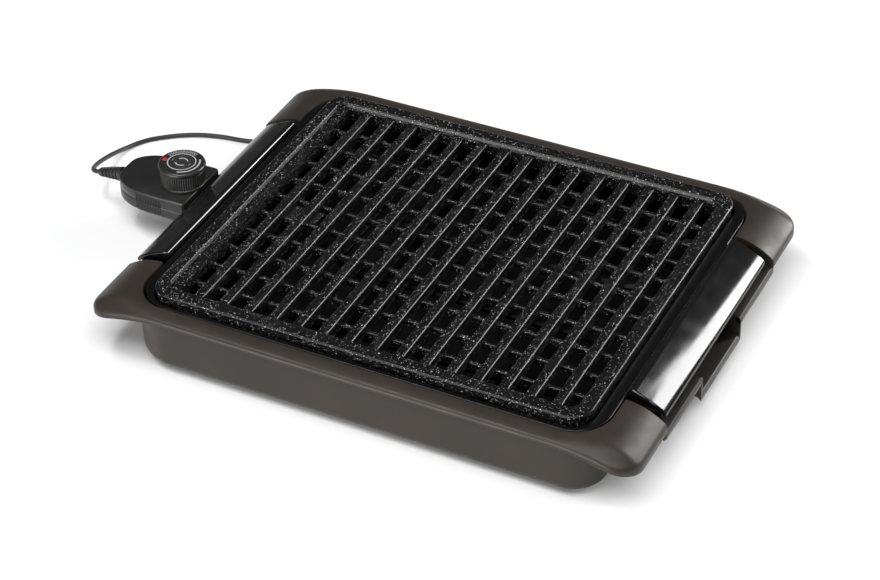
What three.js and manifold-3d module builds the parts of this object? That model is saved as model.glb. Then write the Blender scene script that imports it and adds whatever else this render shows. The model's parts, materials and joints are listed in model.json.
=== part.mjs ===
// Electric griddle: a slotted cast plate in a black carrier frame, on a moulded base with a drip tray,
// with a plug-in thermostat control and its mains lead. Millimetres, +Z up, the table top at z = 0,
// +X to the right along the long side, +Y to the back. The control plugs in from the left (-X).
import * as THREE from 'three';
import { mergeVertices } from 'three/addons/utils/BufferGeometryUtils.js';
import Module from 'manifold-3d';

const wasm = await Module();
wasm.setup();

// ---- driving dimensions ----
const PLATE_X = 340; // cooking plate, outer length
const PLATE_Y = 288.6; // cooking plate, outer depth
const PLATE_TOP = 57; // height of the plate's rim above the table
const PLATE_THICK = 14;
const PLATE_CORNER = 16;
const RIM_WIDTH = 10.9; // plate rim, right, front and back
const RIM_WIDTH_LEFT = 9.2;
const RIB_DROP = 3; // rib tops below the rim
const LEFT_LEDGE = 9; // plain strip inside the left rim
const SLOT_COUNT = 16;
const RIB_SHARE = 0.4; // rib width as a share of the pitch
const BAR_ROWS = 10;
const BAR_PITCH = 24.1;
const BAR_WIDTH = 4;
const BAR_DROP = 9; // crossbar tops below the rim
const PLATE_GAP = 1; // plate to frame, all round

const FRAME_SIDE = 10; // width of the frame's top at the sides
const FRAME_FRONT = 4.4; // width of the frame's top at the front and back
const FRAME_DROP = 7; // frame top below the plate's rim
const FRAME_LEDGE = 8; // ledge that carries the plate
const LEDGE_THICK = 1.9;
const FRAME_GAP = 1; // frame to base opening at the sides
const FRAME_GAP_Y = 0.8;

const FLANGE_X = 31.5; // base flange beyond the opening, at the sides
const FLANGE_Y = 13.5; // base flange beyond the opening, front and back
const FLANGE_DROP = 6; // base flange top below the plate's rim
const EAR_DROP = 12.5; // how far the ears fall at their outer edge
const FLANGE_CORNER = 20;
const WALL = 2.5; // base wall and floor
const WALL_INSET_Y = 3.5; // base wall inside the flange edge, front and back
const WALL_CORNER = 26; // upright corners of the base wall, right
const WALL_CORNER_LEFT = 38;
const FOOT_HEIGHT = 4;
const FOOT_RADIUS = 10;
const EAR_END = 103.4; // the ears end at this distance from the middle
const SHELF_Z = 33.4; // top of the side shelf at the wall
const SHELF_STEP = 15.4; // how far the shelf's middle is lowered
const SHELF_MIDDLE = 36.5; // half length of the lowered middle
const SHELF_THICK = 2.4;

const GRIP_HALF = 96; // half length of a handle grip
const GRIP_WIDTH = 28;
const ARM_OUTER = 95; // handle arm, outer end from the middle
const ARM_INNER = 45;

const TRAY_ROOM_X = 6; // tray rim to base wall, at the sides
const TRAY_ROOM_Y = 11.5; // the same, front and back
const TRAY_HEIGHT = 18;
const TRAY_WALL = 1.2;

const ELEMENT_DIA = 7;
const ELEMENT_Z = 34;
const PIN_DIA = 5;
const PIN_Y = 14;
const ROD_DIA = 6.5;
const RUN_GAP = 0.3; // gap kept round what slides or plugs in
const TOUCH = 0.3; // gap kept between parts that touch

const CONTROL_HALF = 27; // half width of the control
const CONTROL_OUT = 29.5; // base opening to the front face of the control's housing
const CONTROL_LENGTH = 67;
const CONTROL_FLOOR = 26;
const CONTROL_SPLIT = 35;
const CONTROL_TOP = 44;
const SHELL = 2;
const DIAL_SETBACK = 15.5; // dial axis behind the housing's front face
const DIAL_RADIUS = 18.3;
const DIAL_HEIGHT = 18;
const SHAFT_DIA = 6;

const SCREW_DIA = 4;
const SMALL_SCREW_DIA = 3;
const HOLE_GAP = 0.3; // screw to hole, on the radius

const CORD_DIA = 3.6;
const COIL_CENTRE = [-110, 190.2];
const COIL_OUTER = 23.4; // radius of the outermost turn's centre line
const COIL_INNER = 18.4;
const COIL_FLOOR = 1.1;
const COIL_SIDES = 32;
const TIE_THICK = 0.8;

// ---- values worked out from them ----
const PLATE_BOTTOM = PLATE_TOP - PLATE_THICK;
const RIB_TOP = PLATE_TOP - RIB_DROP;
const FRAME_IN_X = PLATE_X / 2 + PLATE_GAP;
const FRAME_IN_Y = PLATE_Y / 2 + PLATE_GAP;
const FRAME_X = FRAME_IN_X + FRAME_SIDE;
const FRAME_Y = FRAME_IN_Y + FRAME_FRONT;
const FRAME_TOP = PLATE_TOP - FRAME_DROP;
const LEDGE_TOP = PLATE_BOTTOM - TOUCH;
const FRAME_BOTTOM = LEDGE_TOP - LEDGE_THICK;
const FRAME_CORNER = 27.5;
const OPEN_X = FRAME_X + FRAME_GAP;
const OPEN_Y = FRAME_Y + FRAME_GAP_Y;
const OPEN_CORNER = FRAME_CORNER + FRAME_GAP_Y;
const OUT_X = OPEN_X + FLANGE_X;
const OUT_Y = OPEN_Y + FLANGE_Y;
const FLANGE_TOP = PLATE_TOP - FLANGE_DROP;
const WALL_X = OPEN_X + WALL;
const WALL_Y = OUT_Y - WALL_INSET_Y;
const FLOOR_TOP = FOOT_HEIGHT + WALL;
const TRAY_X = 2 * (WALL_X - WALL - TRAY_ROOM_X); // drip tray over its rim
const TRAY_Y = 2 * (WALL_Y - WALL - TRAY_ROOM_Y);
const BASE_LEDGE_TOP = FRAME_BOTTOM - TOUCH;
const SIDE_WALL_TOP = SHELF_Z + 2.6; // base wall top between the ears
const ARM_BOTTOM = SIDE_WALL_TOP + TOUCH;
const GRIP_IN = FRAME_X + 0.6;
const GRIP_OUT = GRIP_IN + GRIP_WIDTH;
const ARM_TOP = 40;
const GRIP_BOTTOM = ARM_TOP + TOUCH;
const CONTROL_NOSE_X = -(OPEN_X + CONTROL_OUT);
const CONTROL_REAR_X = CONTROL_NOSE_X - CONTROL_LENGTH;
const DIAL_X = CONTROL_NOSE_X - DIAL_SETBACK;

// ---- materials ----
const bronze = { color: 0x4a443e, roughness: 0.42, metalness: 0.35 };
const blackGloss = { color: 0x0b0b0c, roughness: 0.12, metalness: 0 };
const blackSatin = { color: 0x17171a, roughness: 0.45, metalness: 0 };
const castCoat = { color: 0x1b1b1c, roughness: 0.3, metalness: 0.1 };
const rubber = { color: 0x141414, roughness: 0.8, metalness: 0 };
const steel = { color: 0x9a9a9c, roughness: 0.35, metalness: 1 };
const aluminium = { color: 0xb4b6b8, roughness: 0.4, metalness: 1 };
const sheath = { color: 0x5f6063, roughness: 0.5, metalness: 1 };
const brass = { color: 0xb59a55, roughness: 0.35, metalness: 1 };
const ceramic = { color: 0x2e2a27, roughness: 0.7, metalness: 0 };
const greyPrint = { color: 0x2b2b2e, roughness: 0.35, metalness: 0 };

const griddle = new THREE.Group();
griddle.position.x = -(CONTROL_REAR_X + OUT_X) / 2; // the whole griddle is centred on x = 0

function addPart(name, geometry, look) {
  geometry.computeVertexNormals();
  const mesh = new THREE.Mesh(geometry, new THREE.MeshStandardMaterial(look));
  mesh.name = name;
  griddle.add(mesh);
}

// ---- solids ----
const MERGE_STEP = 0.002; // facets nearer than this are merged after a join or a cut

function toSolid(geometry) {
  const plain = geometry.clone();
  plain.deleteAttribute('normal');
  plain.deleteAttribute('uv');
  const merged = mergeVertices(plain, 1e-4);
  return new wasm.Manifold(new wasm.Mesh({
    numProp: 3,
    vertProperties: Float32Array.from(merged.attributes.position.array),
    triVerts: Uint32Array.from(merged.index.array),
  }));
}

function toGeometry(solid) {
  const mesh = solid.simplify(MERGE_STEP).getMesh();
  const geometry = new THREE.BufferGeometry();
  geometry.setAttribute('position', new THREE.BufferAttribute(mesh.vertProperties, 3));
  geometry.setIndex(new THREE.BufferAttribute(mesh.triVerts, 1));
  return geometry;
}

function box(x0, x1, y0, y1, z0, z1) {
  const geometry = new THREE.BoxGeometry(x1 - x0, y1 - y0, z1 - z0);
  geometry.translate((x0 + x1) / 2, (y0 + y1) / 2, (z0 + z1) / 2);
  return toSolid(geometry);
}

function rodZ(x, y, z0, z1, radius, sides = 16, topRadius = radius) {
  const geometry = new THREE.CylinderGeometry(topRadius, radius, z1 - z0, sides);
  geometry.rotateX(Math.PI / 2);
  geometry.translate(x, y, (z0 + z1) / 2);
  return toSolid(geometry);
}

function rodX(x0, x1, y, z, radius, sides = 16) {
  const geometry = new THREE.CylinderGeometry(radius, radius, x1 - x0, sides);
  geometry.rotateZ(Math.PI / 2);
  geometry.translate((x0 + x1) / 2, y, z);
  return toSolid(geometry);
}

// Extrudes an outline in (x, y) from z0 to z1.
function slab(shape, z0, z1, curveSegments = 6) {
  const geometry = new THREE.ExtrudeGeometry(shape, { depth: z1 - z0, bevelEnabled: false, curveSegments });
  geometry.translate(0, 0, z0);
  return toSolid(geometry);
}

// Extrudes an outline drawn in (x, z) along Y from y0 to y1.
function alongY(shape, y0, y1) {
  const geometry = new THREE.ExtrudeGeometry(shape, { depth: y1 - y0, bevelEnabled: false, curveSegments: 6 });
  geometry.rotateX(Math.PI / 2);
  geometry.translate(0, y1, 0);
  return toSolid(geometry);
}

function outline(points) {
  return new THREE.Shape(points.map(([a, b]) => new THREE.Vector2(a, b)));
}

// Sweeps a round section along a smooth curve through the points.
function tube(points, radius, sides, steps) {
  const curve = new THREE.CatmullRomCurve3(points.map((p) => new THREE.Vector3(...p)), false, 'centripetal');
  const section = new THREE.Shape();
  for (let i = 0; i < sides; i += 1) {
    const angle = (2 * Math.PI * i) / sides;
    const x = radius * Math.cos(angle);
    const y = radius * Math.sin(angle);
    if (i === 0) section.moveTo(x, y);
    else section.lineTo(x, y);
  }
  section.closePath();
  return new THREE.ExtrudeGeometry(section, { steps, bevelEnabled: false, extrudePath: curve });
}

// Points of a rounded rectangle, counter-clockwise; every call gives the same count, so loops can be joined.
const CORNER_STEPS = 6;
const EDGE_STEPS = 10; // extra points along the long edges, where the flange falls
function loop(halfX, halfY, rightRadius, zAt, leftRadius = rightRadius) {
  const points = [];
  const corners = [[1, 1, 0], [-1, 1, 90], [-1, -1, 180], [1, -1, 270]];
  for (const [sx, sy, start] of corners) {
    const [radius, nextRadius] = sx > 0 ? [rightRadius, leftRadius] : [leftRadius, rightRadius];
    for (let i = 0; i <= CORNER_STEPS; i += 1) {
      const angle = THREE.MathUtils.degToRad(start + (90 * i) / CORNER_STEPS);
      points.push([
        sx * (halfX - radius) + radius * Math.cos(angle),
        sy * (halfY - radius) + radius * Math.sin(angle),
      ]);
    }
    if (sx * sy > 0) {
      const from = sx * (halfX - radius);
      const to = -sx * (halfX - nextRadius);
      for (let i = 1; i <= EDGE_STEPS; i += 1) {
        points.push([THREE.MathUtils.lerp(from, to, i / (EDGE_STEPS + 1)), sy * halfY]);
      }
    }
  }
  return points.map(([x, y]) => [x, y, typeof zAt === 'function' ? zAt(x, y) : zAt]);
}

// Skins a list of loops, which rise along the outside. A ring joins the last loop to the first;
// otherwise both ends are capped.
function skin(loops, ring) {
  const count = loops[0].length;
  const positions = loops.flat(2);
  const index = [];
  const bands = ring ? loops.length : loops.length - 1;
  for (let k = 0; k < bands; k += 1) {
    const a = k * count;
    const b = ((k + 1) % loops.length) * count;
    for (let i = 0; i < count; i += 1) {
      const j = (i + 1) % count;
      index.push(a + i, a + j, b + j, a + i, b + j, b + i);
    }
  }
  if (!ring) {
    for (const [first, flip] of [[0, true], [(loops.length - 1) * count, false]]) {
      const centre = positions.length / 3;
      positions.push(0, 0, loops[flip ? 0 : loops.length - 1][0][2]);
      for (let i = 0; i < count; i += 1) {
        const j = (i + 1) % count;
        if (flip) index.push(centre, first + j, first + i);
        else index.push(centre, first + i, first + j);
      }
    }
  }
  const geometry = new THREE.BufferGeometry();
  geometry.setAttribute('position', new THREE.Float32BufferAttribute(positions, 3));
  geometry.setIndex(index);
  return toSolid(geometry);
}

function plainLoop(halfX, halfY, radius, z) {
  return loop(halfX, halfY, Math.max(radius, 1), z);
}

// ---- base ----
// Height of the base's top surface: a soft crown at the front and back, and ears that fall outwards.
function flangeTop(x, y) {
  const across = Math.min(Math.max((Math.abs(y) - OPEN_Y) / FLANGE_Y, 0), 1);
  const start = OPEN_X - 37 * across;
  const out = Math.min(Math.max((Math.abs(x) - start) / (OUT_X - start), 0), 1);
  return FLANGE_TOP - 2.5 * across ** 2 - EAR_DROP * out ** 2;
}

function lipBottom(x) {
  const out = Math.min(Math.max((Math.abs(x) - (OPEN_X - 37)) / (OUT_X - OPEN_X + 37), 0), 1);
  return FLANGE_TOP - 6 - (EAR_DROP + 1) * out ** 1.7;
}

function between(share, inset, zAt) {
  const halfX = OPEN_X + FLANGE_X * share - inset;
  const halfY = OPEN_Y + FLANGE_Y * share - inset;
  const corner = OPEN_CORNER + (FLANGE_CORNER - OPEN_CORNER) * share - inset * 0.5;
  return loop(halfX, halfY, corner, zAt);
}

function baseFlange() {
  const skinThick = 2.4;
  const under = (x, y) => flangeTop(x, y) - skinThick;
  const hemBottom = BASE_LEDGE_TOP - skinThick;
  const hemIn = 3; // ledge that carries the frame, reaching inwards
  return skin([
    between(0, hemIn, hemBottom),
    between(0, hemIn, BASE_LEDGE_TOP),
    between(0, 0, BASE_LEDGE_TOP),
    between(0, 0, FLANGE_TOP - 0.5),
    between(0, -0.6, FLANGE_TOP),
    between(0.5, 0, flangeTop),
    between(1, 1.2, flangeTop),
    between(1, 0, (x, y) => flangeTop(x, y) - 1.6),
    between(1, 0, lipBottom),
    between(1, 2.2, lipBottom),
    between(1, 2.4, (x, y) => Math.max(under(x, y), lipBottom(x) + 0.4)),
    between(0.5, 0, under),
    between(0, -skinThick, hemBottom),
  ].reverse(), true);
}

// Everything below the flange's top skin, so that the wall ends inside the skin.
function underSkin() {
  const depth = 1.6;
  const inside = (x, y) => flangeTop(x, y) - depth;
  return skin([
    between(1, 1.2, 0), between(1, 1.2, inside), between(0.5, 0, inside), between(0, -0.6, FLANGE_TOP - depth),
  ], false);
}

function wallLoop(inset, z) {
  return loop(WALL_X - inset, WALL_Y - inset, WALL_CORNER - inset, z, WALL_CORNER_LEFT - inset);
}

function basePan() {
  const inward = [[6, FOOT_HEIGHT], [2, FOOT_HEIGHT + 1.6], [0.8, FOOT_HEIGHT + 5.5], [0, PLATE_TOP]];
  const outer = inward.map(([inset, z]) => wallLoop(inset, z));
  const inner = inward.slice(0, 2).map(([inset, z]) => wallLoop(WALL + inset, z + WALL));
  inner.push(wallLoop(WALL, PLATE_TOP + 5));
  return skin(outer, false).subtract(skin(inner, false)).intersect(underSkin());
}

function shelfSection(drop) {
  const top = SHELF_Z - drop;
  return outline([
    [WALL_X - 1, top - SHELF_THICK],
    [OUT_X - 4, top - 1.5 - SHELF_THICK],
    [OUT_X - 2.4, top - 6.9],
    [OUT_X, top - 6.9],
    [OUT_X, top - 3.4],
    [OUT_X - 1.4, top - 1.6],
    [OUT_X - 4, top - 1.3],
    [WALL_X - 1, top],
  ]);
}

function stepWall() {
  const low = SHELF_Z - SHELF_STEP - SHELF_THICK;
  return outline([
    [WALL_X - 1, low], [OUT_X - 3, low - 1.5], [OUT_X, low - 4.5],
    [OUT_X, SHELF_Z - 3.4], [OUT_X - 1.4, SHELF_Z - 1.6], [OUT_X - 4, SHELF_Z - 1.3], [WALL_X - 1, SHELF_Z],
  ]);
}

function earEnd() {
  const points = [[OPEN_X, SHELF_Z - SHELF_THICK], [OUT_X - 0.6, SHELF_Z - 6.9]];
  for (let i = 6; i >= 0; i -= 1) {
    const x = OPEN_X + ((FLANGE_X - 0.6) * i) / 6;
    points.push([x, flangeTop(x, 0) - 1.5]);
  }
  return outline(points);
}

function makeBase() {
  const sides = [1, -1];
  const sideBox = (side, half, z0, z1) => {
    const [x0, x1] = [OPEN_X - 4, OUT_X + 5].map((x) => x * side).sort((p, q) => p - q);
    return box(x0, x1, -half, half, z0, z1);
  };
  let flange = baseFlange();
  let pan = basePan();
  for (const side of sides) {
    flange = flange.subtract(sideBox(side, EAR_END, 0, PLATE_TOP + 5));
    pan = pan.subtract(sideBox(side, EAR_END + 0.9, SIDE_WALL_TOP, PLATE_TOP + 5));
    pan = pan.subtract(sideBox(side, SHELF_MIDDLE, SHELF_Z - SHELF_STEP, PLATE_TOP + 5));
  }
  let base = pan.add(flange);
  for (const side of sides) {
    const place = (solid) => (side === 1 ? solid : solid.mirror([1, 0, 0]));
    base = base.add(place(alongY(shelfSection(SHELF_STEP), -SHELF_MIDDLE - 1, SHELF_MIDDLE + 1)));
    for (const end of [1, -1]) {
      const span = (a, b) => (end === 1 ? [a, b] : [-b, -a]);
      base = base.add(place(alongY(shelfSection(0), ...span(SHELF_MIDDLE, EAR_END + 1))));
      base = base.add(place(alongY(stepWall(), ...span(SHELF_MIDDLE, SHELF_MIDDLE + SHELF_THICK))));
      base = base.add(place(alongY(earEnd(), ...span(EAR_END + 0.4, EAR_END + SHELF_THICK))));
    }
  }
  addPart('base_pan', toGeometry(base), bronze);
}

function makeFeet() {
  for (const [name, sx, sy] of [
    ['foot_front_left', -1, -1], ['foot_front_right', 1, -1], ['foot_back_left', -1, 1], ['foot_back_right', 1, 1],
  ]) {
    const x = sx * (WALL_X - 40);
    const y = sy * (WALL_Y - 40);
    addPart(name, toGeometry(rodZ(x, y, 0, FOOT_HEIGHT - TOUCH, FOOT_RADIUS - 1, 16, FOOT_RADIUS)), rubber);
  }
}

// ---- drip tray ----
function makeTray() {
  const z0 = FLOOR_TOP + TOUCH;
  const top = z0 + TRAY_HEIGHT;
  const x = TRAY_X / 2;
  const y = TRAY_Y / 2;
  const rim = 4;
  const outer = skin([
    plainLoop(x - rim - 6, y - rim - 6, 16, z0),
    plainLoop(x - rim - 3, y - rim - 3, 19, z0 + 2.5),
    plainLoop(x - rim, y - rim, 22, top - TRAY_WALL),
    plainLoop(x, y, 24, top - TRAY_WALL),
    plainLoop(x, y, 24, top),
  ], false);
  const inner = skin([
    plainLoop(x - rim - 6 - TRAY_WALL, y - rim - 6 - TRAY_WALL, 15, z0 + TRAY_WALL),
    plainLoop(x - rim - 3 - TRAY_WALL, y - rim - 3 - TRAY_WALL, 18, z0 + 2.5 + TRAY_WALL),
    plainLoop(x - rim - TRAY_WALL, y - rim - TRAY_WALL, 21, top + 1),
  ], false);
  addPart('drip_tray', toGeometry(outer.subtract(inner)), aluminium);
}

// ---- frame and handles ----
const SCREW_X = GRIP_IN + 12;
const SCREW_Y = 75;
const BLOCK_X0 = -(OPEN_X - 4.5);
const BLOCK_X1 = BLOCK_X0 + 21.5;
const BLOCK_HALF = 26;
const BRACKET_XS = [-60, 90];
const BRACKET_WIDTH = 10;
const BRACKET_THICK = 1.2;
const BRACKET_TOP = ELEMENT_Z - ELEMENT_DIA / 2 - TOUCH;
const BRACKET_HALF = FRAME_IN_Y - 4;

function ringSlab(ox, oy, oc, ix, iy, ic, z0, z1) {
  const outer = skin([plainLoop(ox, oy, oc, z0), plainLoop(ox, oy, oc, z1)], false);
  const inner = skin([plainLoop(ix, iy, ic, z0 - 1), plainLoop(ix, iy, ic, z1 + 1)], false);
  return outer.subtract(inner);
}

function makeFrame() {
  const crown = 1.2;
  const outer = skin([
    plainLoop(FRAME_X, FRAME_Y, FRAME_CORNER, FRAME_BOTTOM),
    plainLoop(FRAME_X, FRAME_Y, FRAME_CORNER, FRAME_TOP - crown),
    plainLoop(FRAME_X - crown, FRAME_Y - crown, FRAME_CORNER - crown, FRAME_TOP),
  ], false);
  const inner = skin([
    plainLoop(FRAME_IN_X, FRAME_IN_Y, PLATE_CORNER + PLATE_GAP, FRAME_BOTTOM - 1),
    plainLoop(FRAME_IN_X, FRAME_IN_Y, PLATE_CORNER + PLATE_GAP, FRAME_TOP + 1),
  ], false);
  let frame = outer.subtract(inner);
  frame = frame.add(ringSlab(
    FRAME_IN_X + 0.5, FRAME_IN_Y + 0.5, PLATE_CORNER + PLATE_GAP,
    FRAME_IN_X - FRAME_LEDGE, FRAME_IN_Y - FRAME_LEDGE, 10,
    FRAME_BOTTOM, LEDGE_TOP,
  ));
  for (const side of [1, -1]) {
    for (const end of [1, -1]) {
      const xs = [FRAME_IN_X + 1, GRIP_OUT - 4].map((x) => x * side).sort((a, b) => a - b);
      const ys = [ARM_INNER, ARM_OUTER].map((y) => y * end).sort((a, b) => a - b);
      frame = frame.add(box(xs[0], xs[1], ys[0], ys[1], ARM_BOTTOM, ARM_TOP));
      const risers = [FRAME_IN_X + 1, FRAME_X - 1].map((x) => x * side).sort((a, b) => a - b);
      frame = frame.add(box(risers[0], risers[1], ys[0], ys[1], ARM_BOTTOM, FRAME_BOTTOM + 1));
      frame = frame.subtract(rodZ(
        side * SCREW_X, end * SCREW_Y, ARM_BOTTOM - 1, ARM_TOP + 1, SCREW_DIA / 2 + HOLE_GAP, 12));
    }
  }
  for (const x of BRACKET_XS) {
    for (const end of [1, -1]) {
      frame = frame.subtract(rodZ(
        x, end * (BRACKET_HALF - 2), FRAME_BOTTOM - 1, LEDGE_TOP - 0.6, SMALL_SCREW_DIA / 2 + HOLE_GAP, 12));
    }
  }
  for (const end of [1, -1]) {
    frame = frame.subtract(rodZ(
      BLOCK_X0 + 4, end * (BLOCK_HALF - 4), FRAME_BOTTOM - 1, FRAME_BOTTOM + 5, SMALL_SCREW_DIA / 2 + HOLE_GAP, 12));
  }
  addPart('support_frame', toGeometry(frame), blackGloss);
}

// The grip's section: a steep inner wall, a rounded shoulder, and a crowned top falling outwards.
function gripSection() {
  const shape = new THREE.Shape();
  shape.moveTo(GRIP_IN, GRIP_BOTTOM);
  shape.lineTo(GRIP_OUT - 3, GRIP_BOTTOM);
  shape.lineTo(GRIP_OUT - 1, GRIP_BOTTOM - 1.6);
  shape.lineTo(GRIP_OUT, GRIP_BOTTOM - 1.2);
  shape.bezierCurveTo(
    GRIP_OUT, GRIP_BOTTOM + 3.5, GRIP_OUT - 11, PLATE_TOP - 8.8, GRIP_IN + 3.4, PLATE_TOP - 2.8);
  shape.quadraticCurveTo(GRIP_IN + 0.4, PLATE_TOP - 2.6, GRIP_IN, PLATE_TOP - 6);
  shape.closePath();
  return shape;
}

function makeGrips() {
  for (const [name, side] of [['handle_grip_right', 1], ['handle_grip_left', -1]]) {
    let grip = alongY(gripSection(), -GRIP_HALF, GRIP_HALF);
    for (const end of [1, -1]) {
      grip = grip.subtract(rodZ(
        SCREW_X, end * SCREW_Y, GRIP_BOTTOM - 2, GRIP_BOTTOM + 6, SCREW_DIA / 2 + HOLE_GAP, 12));
    }
    addPart(name, toGeometry(side === 1 ? grip : grip.mirror([1, 0, 0])), blackGloss);
  }
}

function screw(x, y, headBottom, headHeight, headRadius, shankRadius, shankTop) {
  const head = rodZ(x, y, headBottom, headBottom + headHeight, headRadius, 12);
  return head.add(rodZ(x, y, headBottom + headHeight - 0.1, shankTop, shankRadius, 8));
}

function makeGripScrews() {
  for (const [side, sideName] of [[1, 'right'], [-1, 'left']]) {
    for (const [end, endName] of [[1, 'back'], [-1, 'front']]) {
      const headHeight = 1.6;
      const head = ARM_BOTTOM - TOUCH - headHeight;
      const solid = screw(side * SCREW_X, end * SCREW_Y, head, headHeight, 3.6, SCREW_DIA / 2, GRIP_BOTTOM + 5.5);
      addPart(`grip_screw_${sideName}_${endName}`, toGeometry(solid), steel);
    }
  }
}

// ---- heating element and its mountings ----
// Rounds the corners of a flat path, with an arc of the given radius at each.
function rounded(corners, radius, steps) {
  const path = [corners[0]];
  for (let i = 1; i + 1 < corners.length; i += 1) {
    const [from, at, to] = [corners[i - 1], corners[i], corners[i + 1]].map(([x, y]) => new THREE.Vector2(x, y));
    const into = at.clone().sub(from).normalize();
    const away = to.clone().sub(at).normalize();
    const centre = at.clone().addScaledVector(into, -radius).addScaledVector(away, radius);
    for (let k = 0; k <= steps; k += 1) {
      const angle = (Math.PI / 2) * (k / steps);
      const p = centre.clone().addScaledVector(away, -radius * Math.cos(angle));
      p.addScaledVector(into, radius * Math.sin(angle));
      path.push([p.x, p.y]);
    }
  }
  path.push(corners[corners.length - 1]);
  return path;
}

// Sweeps a round section along a flat path of straight runs, mitred at each point.
function sweepFlat(path, z, radius, sides) {
  return capped(path.map(([x, y], k) => {
    const before = path[Math.max(k - 1, 0)];
    const after = path[Math.min(k + 1, path.length - 1)];
    const into = new THREE.Vector2(x - before[0], y - before[1]).normalize();
    const away = new THREE.Vector2(after[0] - x, after[1] - y).normalize();
    const along = into.clone().add(away).normalize();
    const stretch = 1 / Math.max(along.dot(k > 0 ? into : away), 0.5);
    return Array.from({ length: sides }, (_, i) => {
      const angle = (2 * Math.PI * (i + 0.5)) / sides;
      const out = radius * stretch * Math.cos(angle);
      return [x - along.y * out, y + along.x * out, z + radius * Math.sin(angle)];
    });
  }));
}

function makeElement() {
  const far = PLATE_X / 2 - 32;
  const wide = PLATE_Y / 2 - 44;
  const middle = 33;
  const near = -PLATE_X / 2 + 42;
  const turn = -80;
  const half = [[BLOCK_X1 - 10, PIN_Y], [near, PIN_Y], [near, wide], [far, wide], [far, middle], [turn, middle]];
  const corners = [...half, ...half.map(([x, y]) => [x, -y]).reverse()];
  const path = rounded(corners, 16, 4);
  addPart('heating_element', toGeometry(sweepFlat(path, ELEMENT_Z, ELEMENT_DIA / 2, 8)), sheath);
}

function makeTerminals() {
  const blockTop = FRAME_BOTTOM - TOUCH;
  let block = box(BLOCK_X0, BLOCK_X1, -BLOCK_HALF, BLOCK_HALF, ELEMENT_Z - 7, blockTop);
  const stepX = BLOCK_X1 - 11;
  for (const end of [1, -1]) {
    block = block.subtract(rodX(stepX, BLOCK_X1 + 1, end * PIN_Y, ELEMENT_Z, ELEMENT_DIA / 2 + RUN_GAP + 0.1));
    block = block.subtract(rodX(BLOCK_X0 - 1, stepX + 1, end * PIN_Y, ELEMENT_Z, PIN_DIA / 2 + RUN_GAP));
    block = block.subtract(rodZ(
      BLOCK_X0 + 4, end * (BLOCK_HALF - 4), ELEMENT_Z - 8, blockTop + 1, SMALL_SCREW_DIA / 2 + HOLE_GAP, 12));
  }
  block = block.subtract(rodX(BLOCK_X0 - 1, BLOCK_X1 + 1, 0, ELEMENT_Z, ROD_DIA / 2 + 1.2));
  addPart('terminal_block', toGeometry(block), ceramic);
  for (const [name, end] of [['terminal_pin_front', -1], ['terminal_pin_back', 1]]) {
    const pin = rodX(BLOCK_X0 - 20, stepX + 0.6, end * PIN_Y, ELEMENT_Z, PIN_DIA / 2, 12);
    addPart(name, toGeometry(pin), brass);
    const solid = screw(
      BLOCK_X0 + 4, end * (BLOCK_HALF - 4), ELEMENT_Z - 7 - TOUCH - 1.4, 1.4, 2.6, SMALL_SCREW_DIA / 2,
      FRAME_BOTTOM + 4.5);
    addPart(name.replace('terminal_pin', 'block_screw'), toGeometry(solid), steel);
  }
}

function makeBrackets() {
  const top = FRAME_BOTTOM - TOUCH;
  BRACKET_XS.forEach((x, number) => {
    const z0 = BRACKET_TOP - BRACKET_THICK;
    const x0 = x - BRACKET_WIDTH / 2;
    const x1 = x + BRACKET_WIDTH / 2;
    const foot = BRACKET_HALF - 7;
    let bracket = box(x0, x1, -foot, foot, z0, BRACKET_TOP);
    for (const end of [1, -1]) {
      const span = (a, b) => (end === 1 ? [a, b] : [-b, -a]);
      bracket = bracket.add(box(x0, x1, ...span(foot - BRACKET_THICK, foot), z0, top));
      bracket = bracket.add(box(x0, x1, ...span(foot - BRACKET_THICK, BRACKET_HALF + 2), top - BRACKET_THICK, top));
      const y = end * (BRACKET_HALF - 2);
      bracket = bracket.subtract(rodZ(x, y, z0 - 1, top + 1, SMALL_SCREW_DIA / 2 + HOLE_GAP, 12));
      const head = top - BRACKET_THICK - TOUCH - 1.2;
      const solid = screw(x, y, head, 1.2, 2.4, SMALL_SCREW_DIA / 2, LEDGE_TOP - 1);
      addPart(`bracket_screw_${number + 1}_${end === 1 ? 'back' : 'front'}`, toGeometry(solid), steel);
    }
    addPart(`element_bracket_${number + 1}`, toGeometry(bracket), steel);
  });
}

// ---- cooking plate ----
const FIELD_X0 = -PLATE_X / 2 + RIM_WIDTH_LEFT + LEFT_LEDGE;
const FIELD_X1 = PLATE_X / 2 - RIM_WIDTH + 0.6;
const FIELD_Y = PLATE_Y / 2 - RIM_WIDTH - 1.6;
const SLOT_PITCH = (FIELD_X1 - FIELD_X0) / (SLOT_COUNT - RIB_SHARE);
const RIB_WIDTH = SLOT_PITCH * RIB_SHARE;
const ROD_TIP_X = -PLATE_X / 2 + 62;
const BOSS_LENGTH = 26;

function ribSection(centre) {
  const half = RIB_WIDTH / 2;
  const bevel = 1.3;
  return outline([
    [centre - half + 0.8, PLATE_BOTTOM], [centre + half - 0.8, PLATE_BOTTOM],
    [centre + half, RIB_TOP - bevel], [centre + half - bevel, RIB_TOP],
    [centre - half + bevel, RIB_TOP], [centre - half, RIB_TOP - bevel],
  ]);
}

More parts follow.
